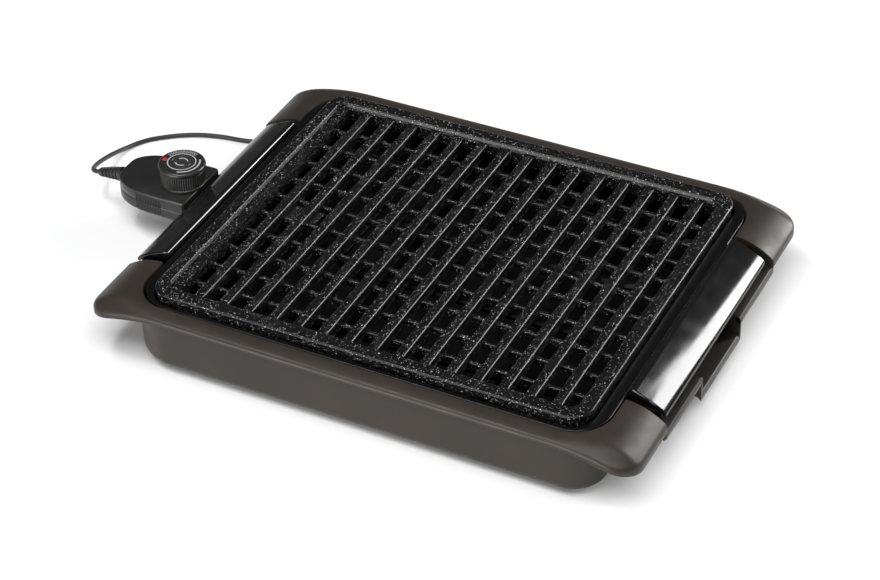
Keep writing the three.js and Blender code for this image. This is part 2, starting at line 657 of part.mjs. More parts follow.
function makePlate() {
  const hx = PLATE_X / 2;
  const hy = PLATE_Y / 2;
  const outer = skin([
    plainLoop(hx - 1.5, hy - 1.5, PLATE_CORNER - 1.5, PLATE_BOTTOM),
    plainLoop(hx, hy, PLATE_CORNER, PLATE_TOP - 1.4),
    plainLoop(hx - 1.2, hy - 1.2, PLATE_CORNER - 1.2, PLATE_TOP),
  ], false);
  const pocketX = hx - (RIM_WIDTH + RIM_WIDTH_LEFT) / 2;
  const pocketY = hy - RIM_WIDTH;
  const shift = (RIM_WIDTH_LEFT - RIM_WIDTH) / 2;
  const pocket = skin([
    plainLoop(pocketX - 1.4, pocketY - 1.4, 6.6, RIB_TOP - 0.4),
    plainLoop(pocketX, pocketY, 8, PLATE_TOP - 0.6),
    plainLoop(pocketX + 0.8, pocketY + 0.8, 8.8, PLATE_TOP + 0.4),
  ], false).translate([shift, 0, 0]);
  let plate = outer.subtract(pocket);
  plate = plate.subtract(box(FIELD_X0, FIELD_X1, -FIELD_Y, FIELD_Y, PLATE_BOTTOM - 1, PLATE_TOP - 0.5));
  for (let i = 1; i < SLOT_COUNT; i += 1) {
    const centre = FIELD_X0 + SLOT_PITCH * i - RIB_WIDTH / 2;
    plate = plate.add(alongY(ribSection(centre), -FIELD_Y - 0.5, FIELD_Y + 0.5));
  }
  for (let row = 0; row < BAR_ROWS; row += 1) {
    const y = (row - (BAR_ROWS - 1) / 2) * BAR_PITCH;
    plate = plate.add(box(
      FIELD_X0 - 1, FIELD_X1 + 1, y - BAR_WIDTH / 2, y + BAR_WIDTH / 2, PLATE_BOTTOM, PLATE_TOP - BAR_DROP));
  }
  const bossFloor = ELEMENT_Z + ROD_DIA / 2 + RUN_GAP;
  plate = plate.add(box(
    ROD_TIP_X - BOSS_LENGTH, ROD_TIP_X, -RIB_WIDTH, RIB_WIDTH, bossFloor, PLATE_BOTTOM + 2));
  addPart('grill_plate', toGeometry(plate), castCoat);
}

// ---- plug-in control ----
// Plan of the control: straight sides behind the nose, then a taper to a narrow round end.
function controlPlan(inset) {
  const half = CONTROL_HALF - inset;
  const front = CONTROL_NOSE_X - inset;
  const rear = CONTROL_REAR_X + inset;
  const straight = CONTROL_NOSE_X - 28;
  const shape = new THREE.Shape();
  shape.moveTo(front, -half);
  shape.lineTo(front, half);
  shape.lineTo(straight, half);
  shape.bezierCurveTo(straight - 24, half, rear, half * 0.66, rear, half * 0.24);
  shape.lineTo(rear, -half * 0.24);
  shape.bezierCurveTo(rear, -half * 0.66, straight - 24, -half, straight, -half);
  shape.closePath();
  return shape;
}

const NOSE_HALF = 24;
const NOSE_X0 = CONTROL_NOSE_X - 10.5;
const NOSE_X1 = BLOCK_X0 - 6.5;
const NOSE_Z0 = CONTROL_FLOOR + SHELL + TOUCH;
const NOSE_Z1 = 38;
const RELIEF_NECK = 4;
const POSTS = [[CONTROL_NOSE_X - 16.5, 21.5], [CONTROL_NOSE_X - 46.5, 14]];

function postPlaces() {
  return POSTS.flatMap(([x, y]) => [[x, y], [x, -y]]);
}

function noseOpening() {
  return box(
    NOSE_X0 - 1, NOSE_X1, -NOSE_HALF - TOUCH, NOSE_HALF + TOUCH, NOSE_Z0 - TOUCH, NOSE_Z1 + TOUCH);
}

function makeHousing() {
  const midZ = CONTROL_SPLIT + TOUCH;
  const neck = rodX(CONTROL_REAR_X - 3, CONTROL_REAR_X + 4, 0, CONTROL_SPLIT, RELIEF_NECK + TOUCH);
  let lower = slab(controlPlan(0), CONTROL_FLOOR + 1.2, CONTROL_SPLIT)
    .add(slab(controlPlan(1.2), CONTROL_FLOOR, CONTROL_FLOOR + 1.3));
  lower = lower.subtract(slab(controlPlan(SHELL), CONTROL_FLOOR + SHELL, CONTROL_SPLIT + 1));
  let upper = slab(controlPlan(0), midZ, CONTROL_TOP - 1)
    .add(slab(controlPlan(1), CONTROL_TOP - 1.1, CONTROL_TOP));
  upper = upper.subtract(slab(controlPlan(SHELL), midZ - 1, CONTROL_TOP - SHELL));
  for (const [x, y] of postPlaces()) {
    const hole = SMALL_SCREW_DIA / 2 + HOLE_GAP;
    lower = lower.add(rodZ(x, y, CONTROL_FLOOR + SHELL - 0.5, CONTROL_SPLIT, 4, 12));
    lower = lower.subtract(rodZ(x, y, CONTROL_FLOOR - 1, CONTROL_SPLIT + 1, hole, 12));
    lower = lower.subtract(rodZ(x, y, CONTROL_FLOOR - 1, CONTROL_FLOOR + 2, 3.1, 12));
    upper = upper.add(rodZ(x, y, midZ, CONTROL_TOP - SHELL + 0.5, 3.6, 12));
    upper = upper.subtract(rodZ(x, y, midZ - 1, CONTROL_TOP - SHELL - 1, hole, 12));
  }
  lower = lower.subtract(noseOpening()).subtract(neck);
  upper = upper.subtract(noseOpening()).subtract(neck);
  upper = upper.subtract(rodZ(DIAL_X, 0, CONTROL_SPLIT, CONTROL_TOP + 1, SHAFT_DIA / 2 + RUN_GAP, 20));
  addPart('control_housing_lower', toGeometry(lower), blackSatin);
  addPart('control_housing_upper', toGeometry(upper), blackSatin);
  postPlaces().forEach(([x, y], number) => {
    const solid = screw(
      x, y, CONTROL_FLOOR + 0.3, 1.3, 2.7, SMALL_SCREW_DIA / 2, CONTROL_TOP - SHELL - 2);
    addPart(`housing_screw_${number + 1}`, toGeometry(solid), steel);
  });
}

const SOCKET_X0 = NOSE_X0 - 5;
const SOCKET_STEP = NOSE_X1 - 20;
const SOCKET_OUTER = PIN_DIA / 2 + RUN_GAP + 1;

function makeNose() {
  let nose = box(NOSE_X0, NOSE_X1, -NOSE_HALF, NOSE_HALF, NOSE_Z0, NOSE_Z1);
  for (const end of [1, -1]) {
    const y = end * PIN_Y;
    nose = nose.subtract(rodX(SOCKET_STEP, NOSE_X1 + 1, y, ELEMENT_Z, SOCKET_OUTER + TOUCH));
    nose = nose.subtract(rodX(NOSE_X0 - 1, SOCKET_STEP + 1, y, ELEMENT_Z, 2 + TOUCH, 12));
    const socket = rodX(SOCKET_STEP + TOUCH, NOSE_X1 - 1.5, y, ELEMENT_Z, SOCKET_OUTER)
      .subtract(rodX(SOCKET_STEP + 2, NOSE_X1, y, ELEMENT_Z, PIN_DIA / 2 + RUN_GAP))
      .add(rodX(SOCKET_X0, SOCKET_STEP + 1, y, ELEMENT_Z, 2, 12));
    addPart(`contact_socket_${end === 1 ? 'back' : 'front'}`, toGeometry(socket), brass);
  }
  nose = nose.subtract(rodX(NOSE_X0 - 1, NOSE_X1 + 1, 0, ELEMENT_Z, ROD_DIA / 2 + TOUCH));
  addPart('nose_block', toGeometry(nose), blackSatin);
  addPart('sensor_rod', toGeometry(rodX(NOSE_X0 + 0.6, ROD_TIP_X - 3, 0, ELEMENT_Z, ROD_DIA / 2, 14)), aluminium);
}

// Snap-action switch under the dial: a base plate, a bimetal blade and a contact spring.
function makeThermostat() {
  const floor = CONTROL_FLOOR + SHELL + TOUCH;
  const x0 = DIAL_X - 22;
  const x1 = SOCKET_X0 - 2.5;
  addPart('switch_base', toGeometry(box(x0, x1, -9, 9, floor, floor + 1.5)
    .add(box(x0, x0 + 5, -9, 9, floor, floor + 4))), ceramic);
  addPart('bimetal_blade', toGeometry(box(x0 + 1, x1 - 2, -3, 3, floor + 4 + TOUCH, floor + 4.9 + TOUCH)), brass);
  addPart('contact_spring', toGeometry(box(
    x0 + 1, DIAL_X - 5, -6, 6, floor + 5.2 + 2 * TOUCH, floor + 5.7 + 2 * TOUCH)), brass);
}

function makeLeads() {
  for (const [name, side] of [['lead_live', 1], ['lead_neutral', -1]]) {
    const points = [
      [CONTROL_REAR_X + 9, side * 2.2, CONTROL_SPLIT], [CONTROL_REAR_X + 20, side * 5.5, CONTROL_SPLIT],
      [DIAL_X - 20, side * 12.5, ELEMENT_Z + 1], [DIAL_X - 9, side * PIN_Y, ELEMENT_Z],
      [SOCKET_X0 - TOUCH, side * PIN_Y, ELEMENT_Z],
    ];
    addPart(name, tube(points, 1.3, 8, 10), rubber);
  }
}

function makeDial() {
  const under = CONTROL_TOP + TOUCH;
  const top = under + DIAL_HEIGHT;
  const bore = SHAFT_DIA / 2 + 0.3;
  const profile = [
    [0, under + 12], [bore, under + 12], [bore, under], [DIAL_RADIUS - 0.6, under],
    [DIAL_RADIUS, under + 0.8], [DIAL_RADIUS, top - 1.6], [DIAL_RADIUS - 1.6, top],
    [9.9, top], [9.9, top - 1.2], [0, top - 1.2],
  ].map(([r, z]) => new THREE.Vector2(r, z));
  const dial = new THREE.LatheGeometry(profile, 40);
  dial.rotateX(Math.PI / 2);
  dial.translate(DIAL_X, 0, 0);
  addPart('dial_knob', toGeometry(toSolid(dial)), blackSatin);
  addPart('dial_badge', toGeometry(rodZ(DIAL_X, 0, top - 1.2 + TOUCH, top - 0.1, 9.5, 32)), greyPrint);
  const shaft = rodZ(DIAL_X, 0, CONTROL_SPLIT, under + 11.6, SHAFT_DIA / 2, 16)
    .add(rodZ(DIAL_X, 0, CONTROL_SPLIT, CONTROL_SPLIT + 2, SHAFT_DIA / 2 + 1.5, 16));
  addPart('dial_shaft', toGeometry(shaft), steel);
}

// ---- strain relief, lead, coil, tie and plug ----
const RELIEF = [
  [CONTROL_REAR_X + 3, 0, CONTROL_SPLIT], [CONTROL_REAR_X - 6, -0.4, 34.7],
  [CONTROL_REAR_X - 15, -1, 33.6], [CONTROL_REAR_X - 24, -0.9, 31.6],
];
const CORD_FREE = [
  [-302.8, -0.8, 31.5], [-307.3, 0.2, 30.1], [-311.4, 2.8, 28.3], [-315, 7.4, 26.1], [-318, 13.8, 23.4],
  [-320.8, 22.2, 20.2], [-323.4, 32.2, 16.3], [-325.6, 43, 12.2], [-326.9, 54, 8.4], [-326.9, 64.6, 5.2],
  [-325.4, 74.4, 3], [-322, 83.6, 2.1], [-316.4, 91.6, 1.9], [-307.8, 99.4, 1.9], [-297.9, 106.7, 1.9],
  [-284.5, 113.9, 1.9], [-267.4, 119.3, 1.9], [-250, 121.9, 1.9], [-238, 124.8, 1.9], [-229.2, 131.6, 1.9],
  [-223.8, 142, 1.9], [-218.5, 153.5, 1.9], [-210.5, 163.6, 1.9], [-198.5, 169.6, 1.9], [-184, 171.2, 1.9],
  [-166, 170.6, 1.9], [-150, 169.2, 1.9], [-136, 167.6, 2.3], [-124.4, 166.9, 3],
];
const CORD_TAIL = [
  [-95.4, 167, 6.7], [-87, 169.6, 6.9], [-79, 173.6, 7.6], [-71, 176.9, 8.3], [-64, 178.2, 8.5],
];
const PLUG_X = -63.6;
const PLUG_Y = 178.2;
const PLUG_Z = 8.5;

// A tapered collar swept along a curve, with a flat flange inside the housing wall.
function makeStrainRelief() {
  const curve = new THREE.CatmullRomCurve3(RELIEF.map((p) => new THREE.Vector3(...p)), false, 'centripetal');
  const steps = 10;
  const sides = 12;
  const rings = [];
  for (let k = 0; k <= steps; k += 1) {
    const t = k / steps;
    const centre = curve.getPointAt(t);
    const along = curve.getTangentAt(t);
    const across = new THREE.Vector3(0, 0, 1).cross(along).normalize();
    const up = along.clone().cross(across);
    const radius = t < 0.25 ? RELIEF_NECK : 5.8 - 2.5 * ((t - 0.3) / 0.7);
    rings.push(Array.from({ length: sides }, (_, i) => {
      const angle = (2 * Math.PI * i) / sides;
      const p = centre.clone().addScaledVector(across, radius * Math.cos(angle));
      p.addScaledVector(up, radius * Math.sin(angle));
      return [p.x, p.y, p.z];
    }));
  }
  addPart('strain_relief', toGeometry(capped(rings)), rubber);
}

// Closes a list of equal rings into a solid with a fan at each end.
function capped(rings) {
  const sides = rings[0].length;
  const positions = rings.flat(2);
  const index = [];
  for (let k = 0; k + 1 < rings.length; k += 1) {
    for (let i = 0; i < sides; i += 1) {
      const j = (i + 1) % sides;
      const a = k * sides;
      const b = a + sides;
      index.push(a + i, a + j, b + j, a + i, b + j, b + i);
    }
  }
  for (const [k, flip] of [[0, true], [rings.length - 1, false]]) {
    const centre = positions.length / 3;
    for (let axis = 0; axis < 3; axis += 1) {
      positions.push(rings[k].reduce((sum, p) => sum + p[axis], 0) / sides);
    }
    for (let i = 0; i < sides; i += 1) {
      const j = (i + 1) % sides;
      if (flip) index.push(centre, k * sides + j, k * sides + i);
      else index.push(centre, k * sides + i, k * sides + j);
    }
  }
  const geometry = new THREE.BufferGeometry();
  geometry.setAttribute('position', new THREE.Float32BufferAttribute(positions, 3));
  geometry.setIndex(index);
  return toSolid(geometry);
}

function makeCord() {
  addPart('cord_run', tube(CORD_FREE, CORD_DIA / 2, 8, 44), rubber);
  addPart('cord_tail', tube(CORD_TAIL, CORD_DIA / 2, 8, 5), rubber);
  const inner = COIL_INNER - CORD_DIA / 2 - 0.4;
  const outer = COIL_OUTER + CORD_DIA / 2 + 0.4;
  const top = COIL_FLOOR + 2 * CORD_DIA + 0.4;
  const ring = [[inner, COIL_FLOOR], [outer, COIL_FLOOR], [outer, top], [inner, top], [inner, COIL_FLOOR]];
  const coil = new THREE.LatheGeometry(ring.map(([r, z]) => new THREE.Vector2(r, z)), COIL_SIDES);
  coil.rotateX(Math.PI / 2);
  coil.translate(COIL_CENTRE[0], COIL_CENTRE[1], 0);
  addPart('cord_coil', toGeometry(toSolid(coil)), rubber);
  const half = 3; // half width of the tie
  const innerEdge = Math.sqrt(inner ** 2 - half ** 2) * Math.cos(Math.PI / COIL_SIDES);
  const tieIn = [COIL_CENTRE[0] - outer - TOUCH, COIL_CENTRE[0] - innerEdge + TOUCH];
  const tie = box(
    tieIn[0] - TIE_THICK, tieIn[1] + TIE_THICK, COIL_CENTRE[1] - half, COIL_CENTRE[1] + half,
    0, top + TOUCH + TIE_THICK);
  const hollow = box(
    tieIn[0], tieIn[1], COIL_CENTRE[1] - half - 1, COIL_CENTRE[1] + half + 1, COIL_FLOOR - TOUCH, top + TOUCH);
  addPart('cord_tie', toGeometry(tie.subtract(hollow)), rubber);
}

function makePlug() {
  const stations = [[0, 3.2, 3.2], [18, 5, 4.6], [20, 8.5, 6.5], [26, 11.5, 8], [42, 11.5, 8], [44, 10.5, 7]];
  const rings = stations.map(([dx, halfWidth, halfHeight]) => Array.from({ length: 16 }, (_, i) => {
    const angle = (2 * Math.PI * i) / 16;
    const c = Math.cos(angle);
    const s = Math.sin(angle);
    const round = 1 / Math.max((Math.abs(c) ** 4 + Math.abs(s) ** 4) ** 0.25, 0.1);
    return [PLUG_X + dx, PLUG_Y + halfWidth * c * round, PLUG_Z + halfHeight * s * round];
  }));
  addPart('plug_body', toGeometry(capped(rings)), rubber);
  const face = PLUG_X + 44 + TOUCH;
  for (const [name, y] of [['plug_blade_front', -6.35], ['plug_blade_back', 6.35]]) {
    addPart(name, toGeometry(box(
      face, face + 16.5, PLUG_Y + y - 0.75, PLUG_Y + y + 0.75, PLUG_Z - 3.1, PLUG_Z + 3.1)), brass);
  }
}

makeBase();
makeFeet();
makeTray();
makeFrame();
makeGrips();
makeGripScrews();
makeElement();
makeTerminals();
makeBrackets();
makePlate();
makeHousing();
makeNose();
makeThermostat();
makeLeads();
makeDial();
makeStrainRelief();
makeCord();
makePlug();

export default griddle;
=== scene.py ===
"""Electric griddle: the looks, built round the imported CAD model. Metres; lengths in the code are in
millimetres from the middle of the cooking plate, z above the table, and mm() turns them into metres."""

import json
import math

import bmesh
import bpy
from mathutils import Matrix, Vector


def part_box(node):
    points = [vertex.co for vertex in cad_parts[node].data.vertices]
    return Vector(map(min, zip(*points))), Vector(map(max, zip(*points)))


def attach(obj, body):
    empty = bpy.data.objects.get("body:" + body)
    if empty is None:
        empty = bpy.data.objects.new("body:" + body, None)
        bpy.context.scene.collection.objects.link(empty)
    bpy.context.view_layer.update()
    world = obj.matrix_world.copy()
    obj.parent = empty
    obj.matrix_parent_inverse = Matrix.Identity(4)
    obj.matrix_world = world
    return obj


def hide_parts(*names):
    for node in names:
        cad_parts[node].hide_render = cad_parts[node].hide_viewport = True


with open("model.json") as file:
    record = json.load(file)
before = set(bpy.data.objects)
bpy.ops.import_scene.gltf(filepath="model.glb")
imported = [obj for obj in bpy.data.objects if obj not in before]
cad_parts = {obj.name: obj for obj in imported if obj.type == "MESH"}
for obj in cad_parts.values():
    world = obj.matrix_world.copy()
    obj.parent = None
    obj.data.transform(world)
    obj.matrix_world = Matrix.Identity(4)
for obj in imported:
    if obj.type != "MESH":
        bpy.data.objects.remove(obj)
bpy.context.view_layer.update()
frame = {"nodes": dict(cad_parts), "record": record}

plate_lo, plate_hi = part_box("grill_plate")
SHIFT = (plate_lo.x + plate_hi.x) / 2  # the plate's middle stands here along X


def mm(x, y, z):
    return Vector((x * 0.001 + SHIFT, y * 0.001, z * 0.001))


# ---- sizes, as in the CAD ----
HX = (plate_hi.x - plate_lo.x) * 500
HY = (plate_hi.y - plate_lo.y) * 500
TOP = plate_hi.z * 1000
PLATE_BOTTOM = TOP - 14
PLATE_CORNER = 16
RIM, RIM_LEFT, LEDGE = 10.9, 9.2, 9
SLOTS, BAR_ROWS, BAR_PITCH = 16, 10, 24.1
RIB_SHARE = 0.4
FRAME_IN_X, FRAME_IN_Y = HX + 1, HY + 1
FRAME_X, FRAME_Y = FRAME_IN_X + 10, FRAME_IN_Y + 4.4
FRAME_TOP = TOP - 7
LEDGE_TOP = PLATE_BOTTOM - 0.3
FRAME_BOTTOM = LEDGE_TOP - 1.9
FRAME_CORNER = 27.5
OPEN_X, OPEN_Y, OPEN_CORNER = FRAME_X + 1, FRAME_Y + 0.8, 28.3
FLANGE_X, FLANGE_Y, FLANGE_CORNER = 31.5, 13.5, 20
OUT_X, OUT_Y = OPEN_X + FLANGE_X, OPEN_Y + FLANGE_Y
FLANGE_TOP = TOP - 6
EAR_DROP = 12.5
WALL = 2.5
WALL_X, WALL_Y = OPEN_X + WALL, OUT_Y - 3.5
WALL_CORNER, WALL_CORNER_LEFT = 26, 38
FOOT = 4
EAR_END = 103.4
SHELF_Z, SHELF_STEP, SHELF_MIDDLE, SHELF_THICK = 33.4, 15.4, 36.5, 2.4
HEM = FRAME_BOTTOM - 0.3
SKIN = 2.4  # thickness of the flange
SIDE_WALL_TOP = SHELF_Z + 2.6
GRIP_IN = FRAME_X + 0.6
GRIP_OUT = GRIP_IN + 28
GRIP_HALF = 96
GRIP_BOTTOM = 40.3
NOSE_X, REAR_X = -211.5, -278.5
CONTROL_HALF = 27
CONTROL_FLOOR, CONTROL_SPLIT, CONTROL_TOP = 26, 35, 44
DIAL_X, DIAL_R = -227, 18.3
DIAL_UNDER = CONTROL_TOP + 0.3
DIAL_TOP = DIAL_UNDER + 18
CORD_D = 3.6


# ---- camera ----
def make_camera():
    az, el, roll = (math.radians(a) for a in (26.7542, 37.2164, -0.9186))
    unit = HX * 0.001
    back = Vector((math.sin(az) * math.cos(el), -math.cos(az) * math.cos(el), math.sin(el)))
    side = (-back).cross(Vector((0, 0, 1))).normalized()
    over = side.cross(-back)
    right = math.cos(roll) * side + math.sin(roll) * over
    up = -math.sin(roll) * side + math.cos(roll) * over
    place = mm(0, 0, TOP) + (back * 10.684 - right * 0.0424 - up * 0.2046) * unit
    data = bpy.data.cameras.new("camera")
    data.sensor_width = 36
    data.lens = 2490.34 / 880 * 36
    data.clip_end = 50
    camera = bpy.data.objects.new("camera", data)
    bpy.context.scene.collection.objects.link(camera)
    turn = Matrix((right, up, back)).transposed()
    camera.matrix_world = Matrix.Translation(place) @ turn.to_4x4()
    bpy.context.scene.camera = camera


make_camera()


# ---- mesh building ----
class Builder:
    """Collects vertices and faces in millimetres and makes one object of them."""

    def __init__(self):
        self.verts = []
        self.faces = []

    def add(self, points):
        first = len(self.verts)
        self.verts.extend(points)
        return first

    def loft(self, rings, closed=True, cap=True, loop=False):
        """Joins equal rings of points; closed joins each ring's ends, loop the last ring to the first."""
        count = len(rings[0])
        first = self.add([p for ring in rings for p in ring])
        bands = len(rings) if loop else len(rings) - 1
        for k in range(bands):
            a = first + k * count
            b = first + ((k + 1) % len(rings)) * count
            for i in range(count if closed else count - 1):
                j = (i + 1) % count
                self.faces.append((a + i, a + j, b + j, b + i))
        if cap and not loop:
            self.faces.append(tuple(first + i for i in reversed(range(count))))
            last = first + (len(rings) - 1) * count
            self.faces.append(tuple(last + i for i in range(count)))

    def prism_y(self, section, y0, y1, mirror=1):
        self.loft([[(mirror * x, y, z) for x, z in section] for y in (y0, y1)])

    def box(self, x0, x1, y0, y1, z0, z1):
        self.loft([[(x0, y0, z), (x1, y0, z), (x1, y1, z), (x0, y1, z)] for z in (z0, z1)])

    def make(self, name, material, body, replaces=(), bevel=0.0, smooth=35, segments=2):
        mesh = bpy.data.meshes.new(name)
        mesh.from_pydata([mm(*p) for p in self.verts], [], self.faces)
        work = bmesh.new()
        work.from_mesh(mesh)
        bmesh.ops.remove_doubles(work, verts=work.verts, dist=2e-6)
        bmesh.ops.recalc_face_normals(work, faces=work.faces)
        work.to_mesh(mesh)
        work.free()
        mesh.polygons.foreach_set("use_smooth", [True] * len(mesh.polygons))
        mesh.set_sharp_from_angle(angle=math.radians(smooth))
        piece = bpy.data.objects.new(name, mesh)
        bpy.context.scene.collection.objects.link(piece)
        if bevel:
            add_bevel(piece, bevel, segments)
        mesh.materials.append(material)
        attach(piece, body)
        if replaces:
            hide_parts(*replaces)
        return piece


def add_bevel(piece, width, segments=2):
    bevel = piece.modifiers.new("edges", "BEVEL")
    bevel.width = width * 0.001
    bevel.segments = segments
    bevel.limit_method = "ANGLE"
    bevel.angle_limit = math.radians(40)
    bevel.harden_normals = True


def clamp(value, low=0.0, high=1.0):
    return min(max(value, low), high)


def spaced(a, b, steps):
    return [a + (b - a) * i / steps for i in range(steps + 1)]


def arc(cx, cy, radius, start, end, steps):
    return [(cx + radius * math.cos(math.radians(a)), cy + radius * math.sin(math.radians(a)))
            for a in spaced(start, end, steps)]


def rounded_rect(x0, x1, y0, y1, radius, corner=14, edge=1):
    """Counter-clockwise points of a rounded rectangle; the same counts whatever its size."""
    points = []
    centres = [(x1 - radius, y1 - radius, 0), (x0 + radius, y1 - radius, 90),
               (x0 + radius, y0 + radius, 180), (x1 - radius, y0 + radius, 270)]
    for k, (cx, cy, start) in enumerate(centres):
        points += arc(cx, cy, radius, start, start + 90, corner)
        if edge > 1:
            nx, ny, angle = centres[(k + 1) % 4]
            end = arc(nx, ny, radius, angle, angle, 1)[0]
            a = points[-1]
            points += [(a[0] + (end[0] - a[0]) * t / edge, a[1] + (end[1] - a[1]) * t / edge)
                       for t in range(1, edge)]
    return points


def ring_at(points, z):
    return [(x, y, z(x, y) if callable(z) else z) for x, y in points]


# ---- materials ----
def new_material(name):
    material = bpy.data.materials.new(name)
    material.use_nodes = True
    tree = material.node_tree
    return material, tree, tree.nodes["Principled BSDF"]


def node(tree, kind, **values):
    made = tree.nodes.new(kind)
    for key, value in values.items():
        if key in made.inputs:
            made.inputs[key].default_value = value
        else:
            setattr(made, key, value)
    return made


def ramp(tree, source, stops):
    made = tree.nodes.new("ShaderNodeValToRGB")
    tree.links.new(source, made.inputs["Fac"])
    while len(made.color_ramp.elements) < len(stops):
        made.color_ramp.elements.new(0.5)
    for element, (at, value) in zip(made.color_ramp.elements, stops):
        element.position = at
        element.color = (*value, 1) if isinstance(value, tuple) else (value, value, value, 1)
    return made.outputs["Color"]


def noise(tree, scale, detail=3.0, rough=0.55, stretch=None):
    coords = node(tree, "ShaderNodeTexCoord")
    made = node(tree, "ShaderNodeTexNoise", Scale=scale, Detail=detail, Roughness=rough)
    source = coords.outputs["Object"]
    if stretch:
        mapping = node(tree, "ShaderNodeMapping", Scale=stretch)
        tree.links.new(source, mapping.inputs["Vector"])
        source = mapping.outputs["Vector"]
    tree.links.new(source, made.inputs["Vector"])
    return made.outputs["Fac"]


def bump(tree, shader, height, strength, distance):
    made = node(tree, "ShaderNodeBump", Strength=strength, Distance=distance)
    tree.links.new(height, made.inputs["Height"])
    tree.links.new(made.outputs["Normal"], shader.inputs["Normal"])


def plastic(name, dark, light, rough, grain, strength, spread=0.08, specular=0.5, metallic=0.0,
            flecks=None):
    """Moulded or painted surface: slow colour drift, fine grain, uneven roughness and faint flecks."""
    material, tree, shader = new_material(name)
    drift = noise(tree, 14.0, 2.0)
    colour = ramp(tree, drift, [(0.35, dark), (0.65, light)])
    if flecks:
        fine = noise(tree, 5200.0, 1.0)
        mask = ramp(tree, fine, [(0.60, 0.0), (0.72, 1.0)])
        mix = node(tree, "ShaderNodeMix", data_type="RGBA")
        tree.links.new(mask, mix.inputs[0])
        tree.links.new(colour, mix.inputs[6])
        mix.inputs[7].default_value = (*flecks, 1)
        colour = mix.outputs[2]
    tree.links.new(colour, shader.inputs["Base Color"])
    wear = ramp(tree, noise(tree, 60.0, 4.0), [(0.3, max(rough - spread, 0.02)), (0.7, rough + spread)])
    tree.links.new(wear, shader.inputs["Roughness"])
    bump(tree, shader, noise(tree, grain, 2.0), strength, 0.00008)
    shader.inputs["Specular IOR Level"].default_value = specular
    shader.inputs["Metallic"].default_value = metallic
    return material


def metal(name, dark, light, rough, stretch=None):
    material, tree, shader = new_material(name)
    shader.inputs["Metallic"].default_value = 1.0
    brushed = noise(tree, 900.0, 3.0, 0.6, stretch)
    colour = ramp(tree, noise(tree, 40.0, 3.0), [(0.3, dark), (0.7, light)])
    tree.links.new(colour, shader.inputs["Base Color"])
    wear = ramp(tree, brushed, [(0.3, rough * 0.8), (0.7, rough * 1.25)])
    tree.links.new(wear, shader.inputs["Roughness"])
    bump(tree, shader, brushed, 0.12, 0.00005)
    return material


# cells per metre, a speck's size as a share of its cell, the share of cells left black, and a shift
SPECKS = ((600.0, 0.30, 0.80, 0.0), (1000.0, 0.36, 0.76, 3.1), (1600.0, 0.44, 0.76, 7.7))


def speckled():
    """Non-stick coating: deep black with pale specks of several sizes and a slight orange-peel."""
    material, tree, shader = new_material("cast_coating")
    coords = node(tree, "ShaderNodeTexCoord")
    total = None
    for scale, size, black, shift in SPECKS:
        mapping = node(tree, "ShaderNodeMapping", Location=(shift, shift * 0.7, shift * 1.3))
        tree.links.new(coords.outputs["Object"], mapping.inputs["Vector"])
        cells = node(tree, "ShaderNodeTexVoronoi", Scale=scale)
        tree.links.new(mapping.outputs["Vector"], cells.inputs["Vector"])
        split = node(tree, "ShaderNodeSeparateColor")
        tree.links.new(cells.outputs["Color"], split.inputs[0])
        some = node(tree, "ShaderNodeMath", operation="SUBTRACT")
        tree.links.new(split.outputs[0], some.inputs[0])
        some.inputs[1].default_value = black
        reach = node(tree, "ShaderNodeMath", operation="MULTIPLY")
        tree.links.new(some.outputs[0], reach.inputs[0])
        reach.inputs[1].default_value = size / (1 - black)
        inside = node(tree, "ShaderNodeMath", operation="SUBTRACT")
        tree.links.new(reach.outputs[0], inside.inputs[0])
        tree.links.new(cells.outputs["Distance"], inside.inputs[1])
        sharp = node(tree, "ShaderNodeMath", operation="MULTIPLY", use_clamp=True)
        tree.links.new(inside.outputs[0], sharp.inputs[0])
        sharp.inputs[1].default_value = 14.0
        level = node(tree, "ShaderNodeMath", operation="MULTIPLY")
        tree.links.new(sharp.outputs[0], level.inputs[0])
        tree.links.new(split.outputs[1], level.inputs[1])
        if total is None:
            total = level.outputs[0]
        else:
            join = node(tree, "ShaderNodeMath", operation="MAXIMUM")
            tree.links.new(total, join.inputs[0])
            tree.links.new(level.outputs[0], join.inputs[1])
            total = join.outputs[0]
    shades = [(0.0, (0.0028, 0.0028, 0.003)), (0.12, (0.03, 0.03, 0.03)), (0.55, (0.72, 0.72, 0.71))]
    colour = ramp(tree, total, shades)
    tree.links.new(colour, shader.inputs["Base Color"])
    peel = noise(tree, 1300.0, 3.0)
    wear = ramp(tree, noise(tree, 90.0, 3.0), [(0.3, 0.26), (0.7, 0.36)])
    tree.links.new(wear, shader.inputs["Roughness"])
    mixed = node(tree, "ShaderNodeMath", operation="ADD")
    tree.links.new(peel, mixed.inputs[0])
    tree.links.new(total, mixed.inputs[1])
    bump(tree, shader, mixed.outputs[0], 0.35, 0.00012)
    shader.inputs["Specular IOR Level"].default_value = 0.30
    return material


BRONZE = plastic("bronze_paint", (0.027, 0.022, 0.018), (0.033, 0.027, 0.022), 0.42, 2600.0, 0.08,
                 specular=0.30, metallic=0.15, flecks=(0.05, 0.043, 0.036))
# The side shelves are the same bronze paint at about half its brightness: painted shade for the shelves
# lying in shadow under the grips.
SHELF_PAINTED_SHADE = plastic("bronze_shelf_painted_shade", (0.014, 0.012, 0.010), (0.018, 0.016, 0.013), 0.42, 2600.0, 0.08,
                specular=0.4)
RING = plastic("frame_black", (0.0025, 0.0025, 0.003), (0.0035, 0.0035, 0.004), 0.30, 1200.0, 0.05,
               specular=0.18)
GLOSS = plastic("black_gloss", (0.0035, 0.0035, 0.0037), (0.005, 0.005, 0.005), 0.10, 400.0, 0.03,
                spread=0.03, specular=0.55)
SATIN = plastic("black_satin", (0.009, 0.009, 0.0092), (0.013, 0.0125, 0.012), 0.36, 2400.0, 0.16,
                specular=0.45)
RUBBER = plastic("cord_rubber", (0.008, 0.008, 0.008), (0.013, 0.013, 0.013), 0.5, 1700.0, 0.15)
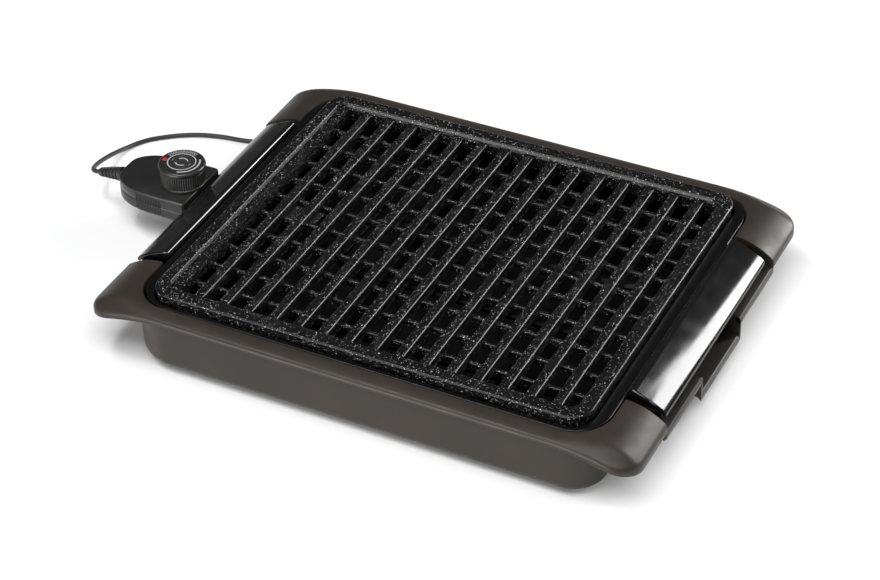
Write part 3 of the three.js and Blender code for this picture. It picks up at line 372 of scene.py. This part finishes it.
FOOT_RUBBER = plastic("foot_rubber", (0.012, 0.012, 0.012), (0.02, 0.02, 0.02), 0.75, 1500.0, 0.3)
COATING = speckled()
# The drip tray's own black coating, made darker than any other black here as painted shade, so the slots in
# the plate look as dark as the shade beneath it.
TRAY_BLACK_AND_SHADE = plastic("tray_black_and_painted_shade", (0.002, 0.002, 0.002), (0.003, 0.003, 0.003), 0.55, 900.0, 0.12,
                 specular=0.2)
STEEL = metal("plated_steel", (0.46, 0.46, 0.47), (0.58, 0.58, 0.59), 0.32)
DARK_STEEL = metal("darkened_steel", (0.018, 0.018, 0.019), (0.032, 0.031, 0.030), 0.5)
SHEATH = metal("element_sheath", (0.02, 0.02, 0.021), (0.04, 0.038, 0.036), 0.5)
ALUMINIUM = metal("aluminium", (0.55, 0.56, 0.57), (0.68, 0.68, 0.69), 0.35, (1, 30, 30))
BRASS = metal("brass", (0.55, 0.38, 0.14), (0.70, 0.52, 0.24), 0.28)
CERAMIC = plastic("ceramic", (0.012, 0.011, 0.010), (0.020, 0.018, 0.017), 0.65, 1400.0, 0.25,
                  specular=0.3)
PRINT_GREY = plastic("dial_print", (0.30, 0.30, 0.30), (0.38, 0.38, 0.38), 0.45, 3000.0, 0.1)
PRINT_RED = plastic("dial_red", (0.40, 0.012, 0.012), (0.48, 0.02, 0.018), 0.40, 3000.0, 0.1)
BADGE = plastic("dial_badge_face", (0.016, 0.016, 0.017), (0.024, 0.024, 0.025), 0.30, 1800.0, 0.15)

SLOT_MATERIAL = {
    "bronze_plastic": BRONZE, "black_gloss": GLOSS, "black_satin": SATIN, "cast_coating": COATING,
    "cord_rubber": RUBBER, "foot_rubber": FOOT_RUBBER, "steel": STEEL, "dark_steel": DARK_STEEL,
    "aluminium": ALUMINIUM, "element_sheath": SHEATH, "brass": BRASS, "ceramic": CERAMIC,
    "badge_grey": BADGE, "tray_coating": TRAY_BLACK_AND_SHADE,
}


def dress_cad():
    """Gives every carried-over CAD node its slot's material."""
    for part in frame["record"]["subparts"]:
        piece = frame["nodes"][part["node"]]
        material = SLOT_MATERIAL[part["material_slot"]]
        for holder in piece.material_slots:
            holder.material = material
        if not piece.material_slots:
            piece.data.materials.append(material)


# ---- base ----
def flange_top(x, y):
    across = clamp((abs(y) - OPEN_Y) / FLANGE_Y)
    start = OPEN_X - 37 * across
    out = clamp((abs(x) - start) / (OUT_X - start))
    return FLANGE_TOP - 2.5 * across ** 2 - EAR_DROP * out ** 2


def lip_bottom(x):
    out = clamp((abs(x) - (OPEN_X - 37)) / (OUT_X - OPEN_X + 37))
    return FLANGE_TOP - 6 - (EAR_DROP + 1) * out ** 1.7


def half_path(share, inset, sign):
    """The front or back half of a flange loop, from one ear's end round both corners to the other's."""
    hx = OPEN_X + FLANGE_X * share - inset
    hy = OPEN_Y + FLANGE_Y * share - inset
    radius = OPEN_CORNER + (FLANGE_CORNER - OPEN_CORNER) * share - inset * 0.5
    points = [(hx, y) for y in spaced(EAR_END, hy - radius, 5)[:-1]]
    points += arc(hx - radius, hy - radius, radius, 0, 90, 22)
    points += [(x, hy) for x in spaced(hx - radius, -(hx - radius), 60)[1:-1]]
    points += arc(-(hx - radius), hy - radius, radius, 90, 180, 22)
    points += [(-hx, y) for y in spaced(hy - radius, EAR_END, 5)[1:]]
    return [(x, sign * y) for x, y in points]


def below_top(drop):
    return lambda x, y: flange_top(x, y) - drop


def above_lip(rise):
    return lambda x, y: lip_bottom(x) + rise


def under_skin(x, y):
    return max(flange_top(x, y) - SKIN, lip_bottom(x) + 0.8)


def flange_profile():
    """The flange's section as (share of the way out, inset, height), from its hem over the top and back."""
    rows = [(0, 3, HEM - SKIN), (0, 3, HEM), (0, 0, HEM)]
    rows += [(0, 0, FLANGE_TOP - 1.3), (0, -0.4, FLANGE_TOP - 0.4)]
    rows += [(share, 0, below_top(0)) for share in (0.05, 0.15, 0.3, 0.45, 0.6, 0.7, 0.78)]
    rows += [(1, inset, below_top(drop)) for inset, drop in ((2.3, 0), (1.2, 0.35), (0.4, 1.1), (0, 2.2))]
    rows += [(1, inset, above_lip(rise)) for inset, rise in ((0, 0.9), (0.4, 0.2), (1.1, 0), (2.0, 0.2))]
    rows += [(1, 2.4, under_skin), (0.7, 0, below_top(SKIN)), (0.4, 0, below_top(SKIN))]
    rows += [(0, -SKIN, HEM - SKIN)]
    return rows


def wall_top(x, y):
    if abs(x) < OPEN_X - 4:
        return flange_top(x, y) - 1.6
    if abs(y) < SHELF_MIDDLE:
        return SHELF_Z - SHELF_STEP
    if abs(y) < EAR_END + 0.9:
        return SIDE_WALL_TOP
    return min(flange_top(x, y), FLANGE_TOP) - 1.8


def wall_quarter(inset, corner):
    """The wall from the middle of one side round a back corner to the middle of the back, x positive."""
    radius = corner - inset
    hx, hy = WALL_X - inset, WALL_Y - inset
    side = [0, SHELF_MIDDLE - 0.02, SHELF_MIDDLE + 0.02, 60, 85, EAR_END + 0.88, EAR_END + 0.92]
    points = [(hx, y) for y in side] + arc(hx - radius, hy - radius, radius, 0, 90, 20)
    return points + [(x, hy) for x in spaced(hx - radius, 0, 24)[1:-1]]


def wall_outline(inset):
    right, left = wall_quarter(inset, WALL_CORNER), wall_quarter(inset, WALL_CORNER_LEFT)
    back = right + [(0, WALL_Y - inset)] + [(-x, y) for x, y in reversed(left)]
    return back + [(x, -y) for x, y in reversed(back[1:-1])]


def make_base():
    build = Builder()
    for sign in (1, -1):
        rows = [ring_at(half_path(share, inset, sign), z) for share, inset, z in flange_profile()]
        stations = [[row[k] for row in rows] for k in range(len(rows[0]))]
        build.loft(stations)
    turn = 7.5  # radius between the floor and the wall
    rings = []
    for angle in (math.radians(a) for a in spaced(0, 90, 8)):
        outline = wall_outline(turn - turn * math.sin(angle) + 0.8)
        rings.append(ring_at(outline, FOOT + turn - turn * math.cos(angle)))
    rings += [ring_at(wall_outline(0.4), 26), ring_at(wall_outline(0), wall_top)]
    floor = FOOT + WALL
    rings += [ring_at(wall_outline(WALL), wall_top), ring_at(wall_outline(WALL + 0.8), floor + 5)]
    rings += [ring_at(wall_outline(WALL + 2.5), floor + 1.2), ring_at(wall_outline(WALL + 6), floor)]
    build.loft(rings)
    build.make("base_shell", BRONZE, "base", ["base_pan"], smooth=40)
    make_shelves()


def make_shelves():
    shelves = Builder()
    step_end = SHELF_MIDDLE + SHELF_THICK
    for mirror in (1, -1):
        shelves.prism_y(shelf_section(SHELF_STEP), -SHELF_MIDDLE - 0.5, SHELF_MIDDLE + 0.5, mirror)
        for end in (1, -1):
            shelves.prism_y(shelf_section(0), end * SHELF_MIDDLE, end * (EAR_END + 1), mirror)
            shelves.prism_y(step_section(), end * SHELF_MIDDLE, end * step_end, mirror)
            ear_from, ear_to = EAR_END + 0.4, EAR_END + SHELF_THICK
            shelves.prism_y(ear_end_section(), end * ear_from, end * ear_to, mirror)
    # the shelves take the darkened bronze, which is painted shade
    shelves.make("base_side_shelves", SHELF_PAINTED_SHADE, "base", bevel=0.45)


def shelf_section(drop):
    top = SHELF_Z - drop
    return [
        (WALL_X - 1, top - SHELF_THICK), (OUT_X - 4, top - 1.5 - SHELF_THICK), (OUT_X - 2.4, top - 6.9),
        (OUT_X, top - 6.9), (OUT_X, top - 3.4), (OUT_X - 1.4, top - 1.6), (OUT_X - 4, top - 1.3),
        (WALL_X - 1, top),
    ]


def step_section():
    low = SHELF_Z - SHELF_STEP - SHELF_THICK
    return [
        (WALL_X - 1, low), (OUT_X - 3, low - 1.5), (OUT_X, low - 4.5), (OUT_X, SHELF_Z - 3.4),
        (OUT_X - 1.4, SHELF_Z - 1.6), (OUT_X - 4, SHELF_Z - 1.3), (WALL_X - 1, SHELF_Z),
    ]


def ear_end_section():
    points = [(OPEN_X, SHELF_Z - SHELF_THICK), (OUT_X - 0.6, SHELF_Z - 6.9)]
    points += [(x, flange_top(x, 0) - 1.5) for x in spaced(OUT_X - 0.6, OPEN_X, 12)]
    return points


# ---- frame and handles ----
def make_frame():
    build = Builder()
    corner_in = PLATE_CORNER + 1

    def inner(grow):
        x, y = FRAME_IN_X + grow, FRAME_IN_Y + grow
        return rounded_rect(-x, x, -y, y, corner_in + grow)

    def outer(inset):
        x, y = FRAME_X - inset, FRAME_Y - inset
        return rounded_rect(-x, x, -y, y, FRAME_CORNER - inset)

    rings = [ring_at(outer(0), FRAME_BOTTOM), ring_at(outer(0), FRAME_TOP - 1.6)]
    rings += [ring_at(outer(1.6 * (1 - math.cos(a))), FRAME_TOP - 1.6 * (1 - math.sin(a)))
              for a in (math.radians(d) for d in (22, 45, 68, 90))]
    rings += [ring_at(inner(0.8 * (1 - math.sin(a))), FRAME_TOP - 0.8 * (1 - math.cos(a)))
              for a in (math.radians(d) for d in (0, 30, 60, 90))]
    rings += [ring_at(inner(grow), z) for grow, z in ((0, LEDGE_TOP), (-8, LEDGE_TOP), (-8, FRAME_BOTTOM))]
    build.loft(rings, loop=True)
    build.make("carrier_frame", RING, "frame", ["support_frame"])
    arms = Builder()
    for side in (1, -1):
        for end in (1, -1):
            xs = sorted((side * (FRAME_IN_X + 1), side * (GRIP_OUT - 4)))
            ys = sorted((end * 45, end * 95))
            arms.box(*xs, *ys, SIDE_WALL_TOP + 0.3, 40)
            xs = sorted((side * (FRAME_IN_X + 1), side * (FRAME_X - 1)))
            arms.box(*xs, *ys, SIDE_WALL_TOP + 0.3, FRAME_BOTTOM + 1)
    arms.make("carrier_arms", RING, "frame", bevel=0.6, segments=3)


def bezier(p0, p1, p2, p3, steps):
    out = []
    for i in range(steps + 1):
        t = i / steps
        s = 1 - t
        out.append(tuple(s ** 3 * a + 3 * s * s * t * b + 3 * s * t * t * c + t ** 3 * d
                         for a, b, c, d in zip(p0, p1, p2, p3)))
    return out


def grip_section():
    b = GRIP_BOTTOM
    foot = [(GRIP_IN + 0.6, b), (GRIP_OUT - 3, b), (GRIP_OUT - 1.4, b - 1.5)]
    foot += [(GRIP_OUT - 0.6, b - 1.6), (GRIP_OUT, b - 1.0)]
    shoulder = (GRIP_IN + 3.6, TOP - 2.8)
    inner_top = (GRIP_IN, TOP - 5.6)
    crown = bezier((GRIP_OUT, b + 0.2), (GRIP_OUT - 1.5, b + 4.6), (GRIP_OUT - 11, TOP - 8.6), shoulder, 22)
    turn = bezier(shoulder, (GRIP_IN + 2.2, TOP - 2.5), (GRIP_IN + 0.4, TOP - 3.2), inner_top, 8)
    return foot + crown + turn[1:] + [(GRIP_IN, b + 0.6)]


def make_grips():
    section = grip_section()
    cx = sum(p[0] for p in section) / len(section)
    cz = sum(p[1] for p in section) / len(section)
    for name, side in (("grip_right", 1), ("grip_left", -1)):
        rings = []
        for end in (-1, 1):
            order = (1.0, 0.7, 0.4, 0.15, 0) if end < 0 else (0, 0.15, 0.4, 0.7, 1.0)
            for t in order:
                pull = 1 - math.sqrt(1 - t * t) if t < 1 else 1.0
                y = end * (GRIP_HALF - 1.1 * (1 - t))
                ring = []
                for x, z in section:
                    away = math.hypot(x - cx, z - cz)
                    scale = 1 - 1.1 * pull / max(away, 2)
                    ring.append((side * (cx + (x - cx) * scale), y, cz + (z - cz) * scale))
                rings.append(ring)
        build = Builder()
        build.loft(rings)
        build.make(name, GLOSS, "frame", ["handle_" + name], smooth=50)


# ---- cooking plate ----
FIELD_X0 = -HX + RIM_LEFT + LEDGE
FIELD_X1 = HX - RIM + 0.6
FIELD_Y = HY - RIM - 1.6
PITCH = (FIELD_X1 - FIELD_X0) / (SLOTS - RIB_SHARE)
RIB = PITCH * RIB_SHARE
RIB_TOP = TOP - 3


def make_plate():
    build = Builder()

    def outer(inset):
        return rounded_rect(-HX + inset, HX - inset, -HY + inset, HY - inset, PLATE_CORNER - inset)

    def pocket(inset, radius):
        y = HY - RIM - inset
        return rounded_rect(-HX + RIM_LEFT + inset, HX - RIM - inset, -y, y, radius)

    def field(inset, radius):
        y = FIELD_Y - inset
        return rounded_rect(FIELD_X0 + inset, FIELD_X1 - inset, -y, y, radius)

    rings = [ring_at(outer(1.5), PLATE_BOTTOM), ring_at(outer(0.1), TOP - 2.4)]
    rings += [ring_at(outer(1.5 * (1 - math.cos(a))), TOP - 1.5 * (1 - math.sin(a)))
              for a in (math.radians(d) for d in (15, 35, 55, 75, 90))]
    rim_edge = ((-1.2, 9.2, 0), (-0.4, 8.4, 0.2), (0.2, 8.0, 0.8), (0.45, 7.7, 2.6), (0.7, 7.5, 3.1))
    rings += [ring_at(pocket(inset, radius), TOP - drop) for inset, radius, drop in rim_edge]
    field_edge = ((0.25, 3.0, 3.2), (0.55, 2.6, 4.0), (0.6, 2.4, 5.2), (0.2, 2.0, TOP - PLATE_BOTTOM))
    rings += [ring_at(field(inset, radius), TOP - drop) for inset, radius, drop in field_edge]
    build.loft(rings, loop=True)
    for i in range(1, SLOTS):
        rib_at(build, FIELD_X0 + PITCH * i - RIB / 2)
    for row in range(BAR_ROWS):
        bar_at(build, (row - (BAR_ROWS - 1) / 2) * BAR_PITCH)
    build.box(-HX + 36, -HX + 62, -RIB, RIB, 37.6, PLATE_BOTTOM + 2)
    build.make("cooking_plate", COATING, "plate", ["grill_plate"], smooth=50)


def rib_at(build, centre):
    """One rib: soft upper edges, slightly drafted sides, and ends that flare into the rim."""
    flare = 3.0
    edge = 1.7
    reach = FIELD_Y + 0.8
    stations = [-reach] + [-FIELD_Y + d for d in (0.15, 0.7, 1.5, 2.4, flare)]
    stations += [-y for y in reversed(stations)]
    rings = []
    for y in stations:
        depth = clamp(FIELD_Y - abs(y), 0, flare)
        wide = flare - math.sqrt(max(flare ** 2 - (flare - depth) ** 2, 0))
        half = RIB / 2 + wide
        ring = [(centre - RIB / 2 + 0.8, y, PLATE_BOTTOM), (centre - half + 0.25, y, RIB_TOP - 6)]
        ring += [(centre - half + edge * (1 - math.cos(a)), y, RIB_TOP - edge * (1 - math.sin(a)))
                 for a in (math.radians(d) for d in (5, 25, 45, 65, 88))]
        ring += [(2 * centre - x, yy, z) for x, yy, z in reversed(ring)]
        rings.append(ring)
    build.loft(rings)


def bar_at(build, y):
    """One crossbar with a rounded top, a little below the ribs."""
    half, top = 2.0, TOP - 9
    section = [(-half, PLATE_BOTTOM), (half, PLATE_BOTTOM), (half, top - 1.6)]
    section += [(half * math.cos(a), top - 1.6 + 1.6 * math.sin(a))
                for a in (math.radians(d) for d in (30, 60, 90, 120, 150))]
    section += [(-half, top - 1.6)]
    build.loft([[(x, y + dy, z) for dy, z in section] for x in (FIELD_X0 - 1, FIELD_X1 + 1)])


# ---- control ----
def control_plan(inset, steps=18):
    half = CONTROL_HALF - inset
    front, rear = NOSE_X - inset, REAR_X + inset
    straight = NOSE_X - 28
    taper = bezier((straight, half), (straight - 24, half), (rear, half * 0.66), (rear, half * 0.24), steps)
    points = [(front, half - 1.2), (front - 1.2, half)] + taper
    return points + [(x, -y) for x, y in reversed(points)]


def shell(rows):
    return [ring_at(control_plan(inset), z) for inset, z in rows]


def make_control():
    floor, split, top = CONTROL_FLOOR, CONTROL_SPLIT, CONTROL_TOP
    lower = Builder()
    rows = [(1.8, floor), (0.8, floor + 0.3), (0.2, floor + 1.0), (0, floor + 2)]
    lower.loft(shell(rows + [(0, split - 0.5), (0.35, split)]))
    lower.make("control_lower", SATIN, "control", ["control_housing_lower"])
    upper = Builder()
    rows = [(0.35, split + 0.3), (0, split + 0.8), (0, top - 1.1), (0.3, top - 0.4), (0.9, top)]
    upper.loft(shell(rows))
    upper.make("control_upper", SATIN, "control", ["control_housing_upper"])
    ribs = Builder()
    for side in (1, -1):
        for k in range(16):
            x = NOSE_X - 21 - k * 1.45
            y = plan_half_width(x)
            y0, y1 = sorted((side * (y - 1.0), side * (y + 0.35)))
            ribs.box(x - 0.38, x + 0.38, y0, y1, floor + 2.2, top - 2.2)
    ribs.make("control_side_ribs", SATIN, "control", bevel=0.2)
    collar = Builder()
    collar.loft([superellipse(REAR_X + dx, 0, split - 0.4, half_y, half_z, 28)
                 for dx, half_y, half_z in ((1.4, 6.8, 8.2), (-0.2, 6.8, 8.2), (-0.7, 6.3, 7.7))])
    collar.make("control_rear_collar", SATIN, "control", bevel=0.2)


def plan_half_width(x):
    points = [p for p in control_plan(0) if p[1] > 0]
    for (x0, y0), (x1, y1) in zip(points, points[1:]):
        if x1 <= x <= x0:
            return y0 + (y1 - y0) * (x0 - x) / max(x0 - x1, 1e-6)
    return CONTROL_HALF


def superellipse(x, y, z, half_y, half_z, sides, power=4.0):
    points = []
    for i in range(sides):
        a = 2 * math.pi * i / sides
        c, s = math.cos(a), math.sin(a)
        grow = 1 / (abs(c) ** power + abs(s) ** power) ** (1 / power)
        points.append((x, y + half_y * c * grow, z + half_z * s * grow))
    return points


# ---- dial ----
FLUTES, FLUTE_DEPTH = 60, 0.5


def turned(profile, sides, fluted=()):
    """Rings of a turned shape round the dial's axis; the rows numbered in fluted carry the flutes."""
    rings = []
    for row, (radius, z) in enumerate(profile):
        ring = []
        for i in range(sides):
            a = 2 * math.pi * i / sides
            r = radius
            if row in fluted:
                r -= FLUTE_DEPTH * (0.5 + 0.5 * math.cos(FLUTES * a)) ** 2
            ring.append((DIAL_X + r * math.cos(a), r * math.sin(a), z))
        rings.append(ring)
    return rings


def make_dial():
    u, t, r = DIAL_UNDER, DIAL_TOP, DIAL_R
    skirt = [(r - 1.0, u), (r - 0.4, u + 0.5), (r - 0.4, u + 2.0), (r - 0.9, u + 2.4)]
    side = [(r - 0.8, u + 2.8), (r - 0.7, t - 5.0), (r - 1.1, t - 4.6), (r - 1.1, t - 4.2)]
    cap = [(r - 0.3, t - 3.7), (r, t - 3.0), (r, t - 1.9), (r - 0.5, t - 0.8), (r - 1.4, t - 0.2)]
    cap += [(r - 2.2, t), (10.2, t), (9.95, t - 0.15), (9.9, t - 1.1)]
    build = Builder()
    build.loft(turned(skirt + side + cap, 480, (4, 5)))
    build.make("dial", SATIN, "dial", ["dial_knob"], smooth=38)
    badge = Builder()
    groove = [(7.9, t - 0.1), (7.7, t - 0.35), (7.2, t - 0.35), (7.0, t - 0.1)]
    badge.loft(turned([(9.6, t - 0.95), (9.6, t - 0.25), (9.3, t - 0.1)] + groove + [(0.6, t - 0.1)], 96))
    badge.make("dial_centre", BADGE, "dial", ["dial_badge"], smooth=30)
    print_arc("dial_ring", PRINT_GREY, 10.35, 11.25, 0, 360, 120)
    print_arc("dial_scale", PRINT_GREY, 13.3, 14.6, -75, 38, 48)
    for name, start in (("dial_badge_arc_back", 35), ("dial_badge_arc_front", 215)):
        print_arc(name, PRINT_GREY, 4.2, 5.2, start, start + 110, 32)
    for k, text in enumerate(("250", "300", "350", "400")):
        numeral(text, 152 - 24 * k, 13.6)
    dot = Builder()
    a = math.radians(190)
    x, y = DIAL_X + 13.7 * math.cos(a), 13.7 * math.sin(a)
    heights = ((2.0, t + 0.01), (1.9, t + 0.07))
    dot.loft([ring_at(arc(x, y, radius, 0, 345, 23), z) for radius, z in heights])
    dot.make("dial_dot", PRINT_RED, "dial")


def print_arc(name, material, inner, outer, start, end, steps):
    build = Builder()
    z0, z1 = DIAL_TOP + 0.01, DIAL_TOP + 0.06
    full = end - start == 360
    rings = []
    for a in spaced(start, end, steps)[:-1] if full else spaced(start, end, steps):
        c, s = math.cos(math.radians(a)), math.sin(math.radians(a))
        section = ((inner, z0), (outer, z0), (outer, z1), (inner, z1))
        rings.append([(DIAL_X + r * c, r * s, z) for r, z in section])
    build.loft(rings, loop=full)
    build.make(name, material, "dial")


def numeral(text, angle, radius):
    data = bpy.data.curves.new("dial_mark_" + text, "FONT")
    data.body = text
    data.size = 0.0045
    data.extrude = 0.00003
    data.align_x = "CENTER"
    data.align_y = "CENTER"
    data.resolution_u = 3
    mark = bpy.data.objects.new("dial_mark_" + text, data)
    bpy.context.scene.collection.objects.link(mark)
    a = math.radians(angle)
    mark.location = mm(DIAL_X + radius * math.cos(a), radius * math.sin(a), DIAL_TOP + 0.04)
    mark.rotation_euler = (0, 0, a - math.pi / 2)
    data.materials.append(PRINT_GREY)
    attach(mark, "dial")


# ---- strain relief, lead and plug ----
RELIEF = [
    (REAR_X + 3, 0, CONTROL_SPLIT), (REAR_X - 6, -0.4, 34.7),
    (REAR_X - 15, -1, 33.6), (REAR_X - 24.3, -0.8, 31.5),
]
FREE = [
    (-302.8, -0.8, 31.5), (-307.3, 0.2, 30.1), (-311.4, 2.8, 28.3), (-315, 7.4, 26.1), (-318, 13.8, 23.4),
    (-320.8, 22.2, 20.2), (-323.4, 32.2, 16.3), (-325.6, 43, 12.2), (-326.9, 54, 8.4), (-326.9, 64.6, 5.2),
    (-325.4, 74.4, 3), (-322, 83.6, 2.1), (-316.4, 91.6, 1.9), (-307.8, 99.4, 1.9), (-297.9, 106.7, 1.9),
    (-284.5, 113.9, 1.9), (-267.4, 119.3, 1.9), (-250, 121.9, 1.9), (-238, 124.8, 1.9), (-229.2, 131.6, 1.9),
    (-223.8, 142, 1.9), (-218.5, 153.5, 1.9), (-210.5, 163.6, 1.9), (-198.5, 169.6, 1.9), (-184, 171.2, 1.9),
    (-166, 170.6, 1.9), (-150, 169.2, 1.9), (-136, 167.6, 2.3), (-124.4, 166.9, 3),
]
COIL = (-110, 190.2)
COIL_OUTER, COIL_INNER = 23.4, 18.4
COIL_LOW, COIL_HIGH = 3.2, 6.8
TAIL = [(-95.4, 167, 6.75), (-87, 169.6, 6.9), (-79, 173.6, 7.6), (-71, 176.9, 8.3), (-63.6, 178.2, 8.5)]
PLUG = (-63.6, 178.2, 8.5)


def coil_points():
    """Two layers of turns: inwards along the table, up at the inside, and outwards on top."""
    down, climb, end = 500, 580, 1080
    points = []
    for turn in range(0, end + 1, 15):
        angle = math.radians(turn - 90)
        if turn <= down:
            r, z = COIL_OUTER + (COIL_INNER - COIL_OUTER) * turn / down, COIL_LOW
        elif turn <= climb:
            t = (turn - down) / (climb - down)
            r, z = COIL_INNER, COIL_LOW + (COIL_HIGH - COIL_LOW) * (3 * t * t - 2 * t ** 3)
        else:
            r, z = COIL_INNER + (COIL_OUTER - COIL_INNER) * (turn - climb) / (end - climb), COIL_HIGH
        points.append((COIL[0] + r * math.cos(angle), COIL[1] + r * math.sin(angle), z))
    return points


def smooth_path(points, per=6):
    """Catmull-Rom through the points, with per pieces to a span."""
    pts = [Vector(p) for p in points]
    ends = [pts[0] * 2 - pts[1]] + pts + [pts[-1] * 2 - pts[-2]]
    out = []
    for k in range(1, len(ends) - 2):
        a, b, c, d = ends[k - 1:k + 3]
        for i in range(per):
            t = i / per
            bend = (2 * a - 5 * b + 4 * c - d) * t * t + (3 * b - a - 3 * c + d) * t ** 3
            out.append(0.5 * ((2 * b) + (c - a) * t + bend))
    out.append(pts[-1])
    return out


def frames_along(points):
    """(point, side, up) along a path, with up kept as near +Z as it can be."""
    out = []
    for k, p in enumerate(points):
        a, b = points[max(k - 1, 0)], points[min(k + 1, len(points) - 1)]
        along = (b - a).normalized()
        side = Vector((0, 0, 1)).cross(along).normalized()
        out.append((p, side, along.cross(side)))
    return out


def make_relief():
    path = frames_along(smooth_path(RELIEF, 24))
    build = Builder()
    rings = []
    total = len(path) - 1
    for k, (p, side, up) in enumerate(path):
        t = k / total
        radius = 4.0 if t < 0.24 else 6.0 - 2.6 * ((t - 0.24) / 0.76)
        if 0.34 < t < 0.9:
            radius -= 0.85 * clamp(math.sin((t - 0.34) / 0.56 * 5 * 2 * math.pi) * 2.5)
        if t > 0.96:
            radius -= 0.5 * (t - 0.96) / 0.04
        rings.append([tuple(p + side * radius * math.cos(a) + up * radius * math.sin(a))
                      for a in (2 * math.pi * i / 24 for i in range(24))])
    build.loft(rings)
    return build.make("cord_guard", RUBBER, "control", ["strain_relief"], smooth=40)


def make_cord():
    route = smooth_path(FREE + coil_points() + TAIL, 5)
    data = bpy.data.curves.new("mains_lead", "CURVE")
    data.dimensions = "3D"
    data.bevel_depth = CORD_D / 2000
    data.bevel_resolution = 5
    data.use_fill_caps = True
    spline = data.splines.new("POLY")
    spline.points.add(len(route) - 1)
    for point, p in zip(spline.points, route):
        point.co = (*mm(*p), 1)
    spline.use_smooth = True
    data.materials.append(RUBBER)
    cord = bpy.data.objects.new("mains_lead", data)
    bpy.context.scene.collection.objects.link(cord)
    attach(cord, "control")
    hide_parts("cord_run", "cord_tail", "cord_coil")


def make_tie():
    """A flat strap round both layers of the coil, on its left."""
    inner, outer = COIL_INNER - CORD_D / 2 - 0.9, COIL_OUTER + CORD_D / 2 + 0.5
    low, high = COIL_LOW - CORD_D / 2 - 0.3, COIL_HIGH + CORD_D / 2 + 0.2
    build = Builder()
    x0, x1 = COIL[0] - outer, COIL[0] - inner
    outline_in = rounded_rect(x0, x1, low, high, 1.8, 6)
    outline_out = rounded_rect(x0 - 0.7, x1 + 0.7, low - 0.7, high + 0.7, 2.5, 6)
    rings = []
    for dy, points in ((-2.8, outline_in), (-2.8, outline_out), (2.8, outline_out), (2.8, outline_in)):
        rings.append([(x, COIL[1] + dy, z) for x, z in points])
    build.loft(rings, loop=True)
    return build.make("lead_tie", RUBBER, "control", ["cord_tie"], bevel=0.15)


def make_plug():
    x, y, z = PLUG
    build = Builder()
    guard = [(0, 3.0, 3.0), (3, 3.4, 3.3), (4, 3.0, 2.9), (6, 3.8, 3.6), (7, 3.3, 3.1), (9, 4.2, 4.0)]
    guard += [(10, 3.6, 3.4), (12, 4.6, 4.3), (13, 4.0, 3.8), (16, 5.2, 4.8)]
    neck = [(18.5, 7.2, 5.8), (21, 9.4, 6.9), (24, 10.9, 7.7), (27, 11.3, 8.0)]
    grooves = [(29, 10.7, 7.5), (31, 11.2, 7.9), (33, 10.7, 7.5), (35, 11.2, 7.9), (37, 10.8, 7.6)]
    head = [(39, 11.3, 7.9), (42, 11.3, 7.9), (43.4, 10.9, 7.5), (44, 10.2, 6.8)]
    rows = guard + neck + grooves + head
    build.loft([superellipse(x + dx, y, z, hy, hz, 32, 3.2) for dx, hy, hz in rows])
    body = build.make("lead_plug", RUBBER, "control", ["plug_body"], smooth=30)
    blades = Builder()
    face = x + 44.3
    for dy in (-6.35, 6.35):
        blades.box(face, face + 16.4, y + dy - 0.75, y + dy + 0.75, z - 3.1, z + 3.1)
    pins = blades.make("lead_plug_blades", BRASS, "control",
                       ["plug_blade_front", "plug_blade_back"], bevel=0.35)
    return [body, pins]


# ---- stage and light ----
def make_stage():
    mesh = bpy.data.meshes.new("floor")
    size = 6.0
    corners = [(-size, -size, 0), (size, -size, 0), (size, size, 0), (-size, size, 0)]
    mesh.from_pydata(corners, [], [(0, 1, 2, 3)])
    floor = bpy.data.objects.new("floor", mesh)
    bpy.context.scene.collection.objects.link(floor)
    material, tree, shader = new_material("floor_paint")
    colour = ramp(tree, noise(tree, 3.0, 2.0), [(0.3, 0.88), (0.7, 0.90)])
    tree.links.new(colour, shader.inputs["Base Color"])
    shader.inputs["Roughness"].default_value = 0.9
    shader.inputs["Specular IOR Level"].default_value = 0.1
    mesh.materials.append(material)


def area(name, direction, distance, width, height, power, along=None):
    data = bpy.data.lights.new(name, "AREA")
    data.shape = "RECTANGLE"
    data.size, data.size_y = width, height
    data.energy = power
    light = bpy.data.objects.new(name, data)
    bpy.context.scene.collection.objects.link(light)
    toward = Vector(direction).normalized()
    aside = Vector(along).normalized() if along else Vector((0, 0, 1)).cross(toward).normalized()
    aside = (aside - toward * aside.dot(toward)).normalized()
    upward = toward.cross(aside)
    place = Vector((SHIFT, 0, 0.04)) + toward * distance
    turn = Matrix((aside, upward, toward)).transposed()
    light.matrix_world = Matrix.Translation(place) @ turn.to_4x4()


def make_light():
    slant = Vector((0.46, 0.62, -0.635))
    boxes = (("box_grip", 37, 0, 0.46, 1.1, 26), ("box_grip_edge", 17, 0.25, 0.13, 0.8, 8))
    for name, turn, lift, wide, tall, power in boxes:
        a = math.radians(turn)
        toward = Vector((0.703 * math.cos(a), 0.711 + lift, 0.703 * math.sin(a)))
        area(name, toward, 1.9, wide, tall, power, slant.cross(toward))
    area("overhead", (0.1, -0.45, 1.0), 2.4, 2.0, 1.3, 46)
    area("edge_strip", (-0.36, -0.17, 0.92), 2.0, 0.9, 0.3, 10)
    area("front_fill", (-0.30, -1.0, 0.18), 2.6, 2.2, 0.8, 58)
    world = bpy.data.worlds.new("world")
    bpy.context.scene.world = world
    world.use_nodes = True
    background = world.node_tree.nodes["Background"]
    background.inputs["Color"].default_value = (0.88, 0.89, 0.9, 1)
    background.inputs["Strength"].default_value = 0.12
    bpy.context.scene.view_settings.view_transform = "Standard"


dress_cad()
guard = make_relief()
plug_pieces = make_plug()
strap = make_tie()
make_cord()
make_base()
make_frame()
make_grips()
make_plate()
make_control()
make_dial()
make_stage()
make_light()
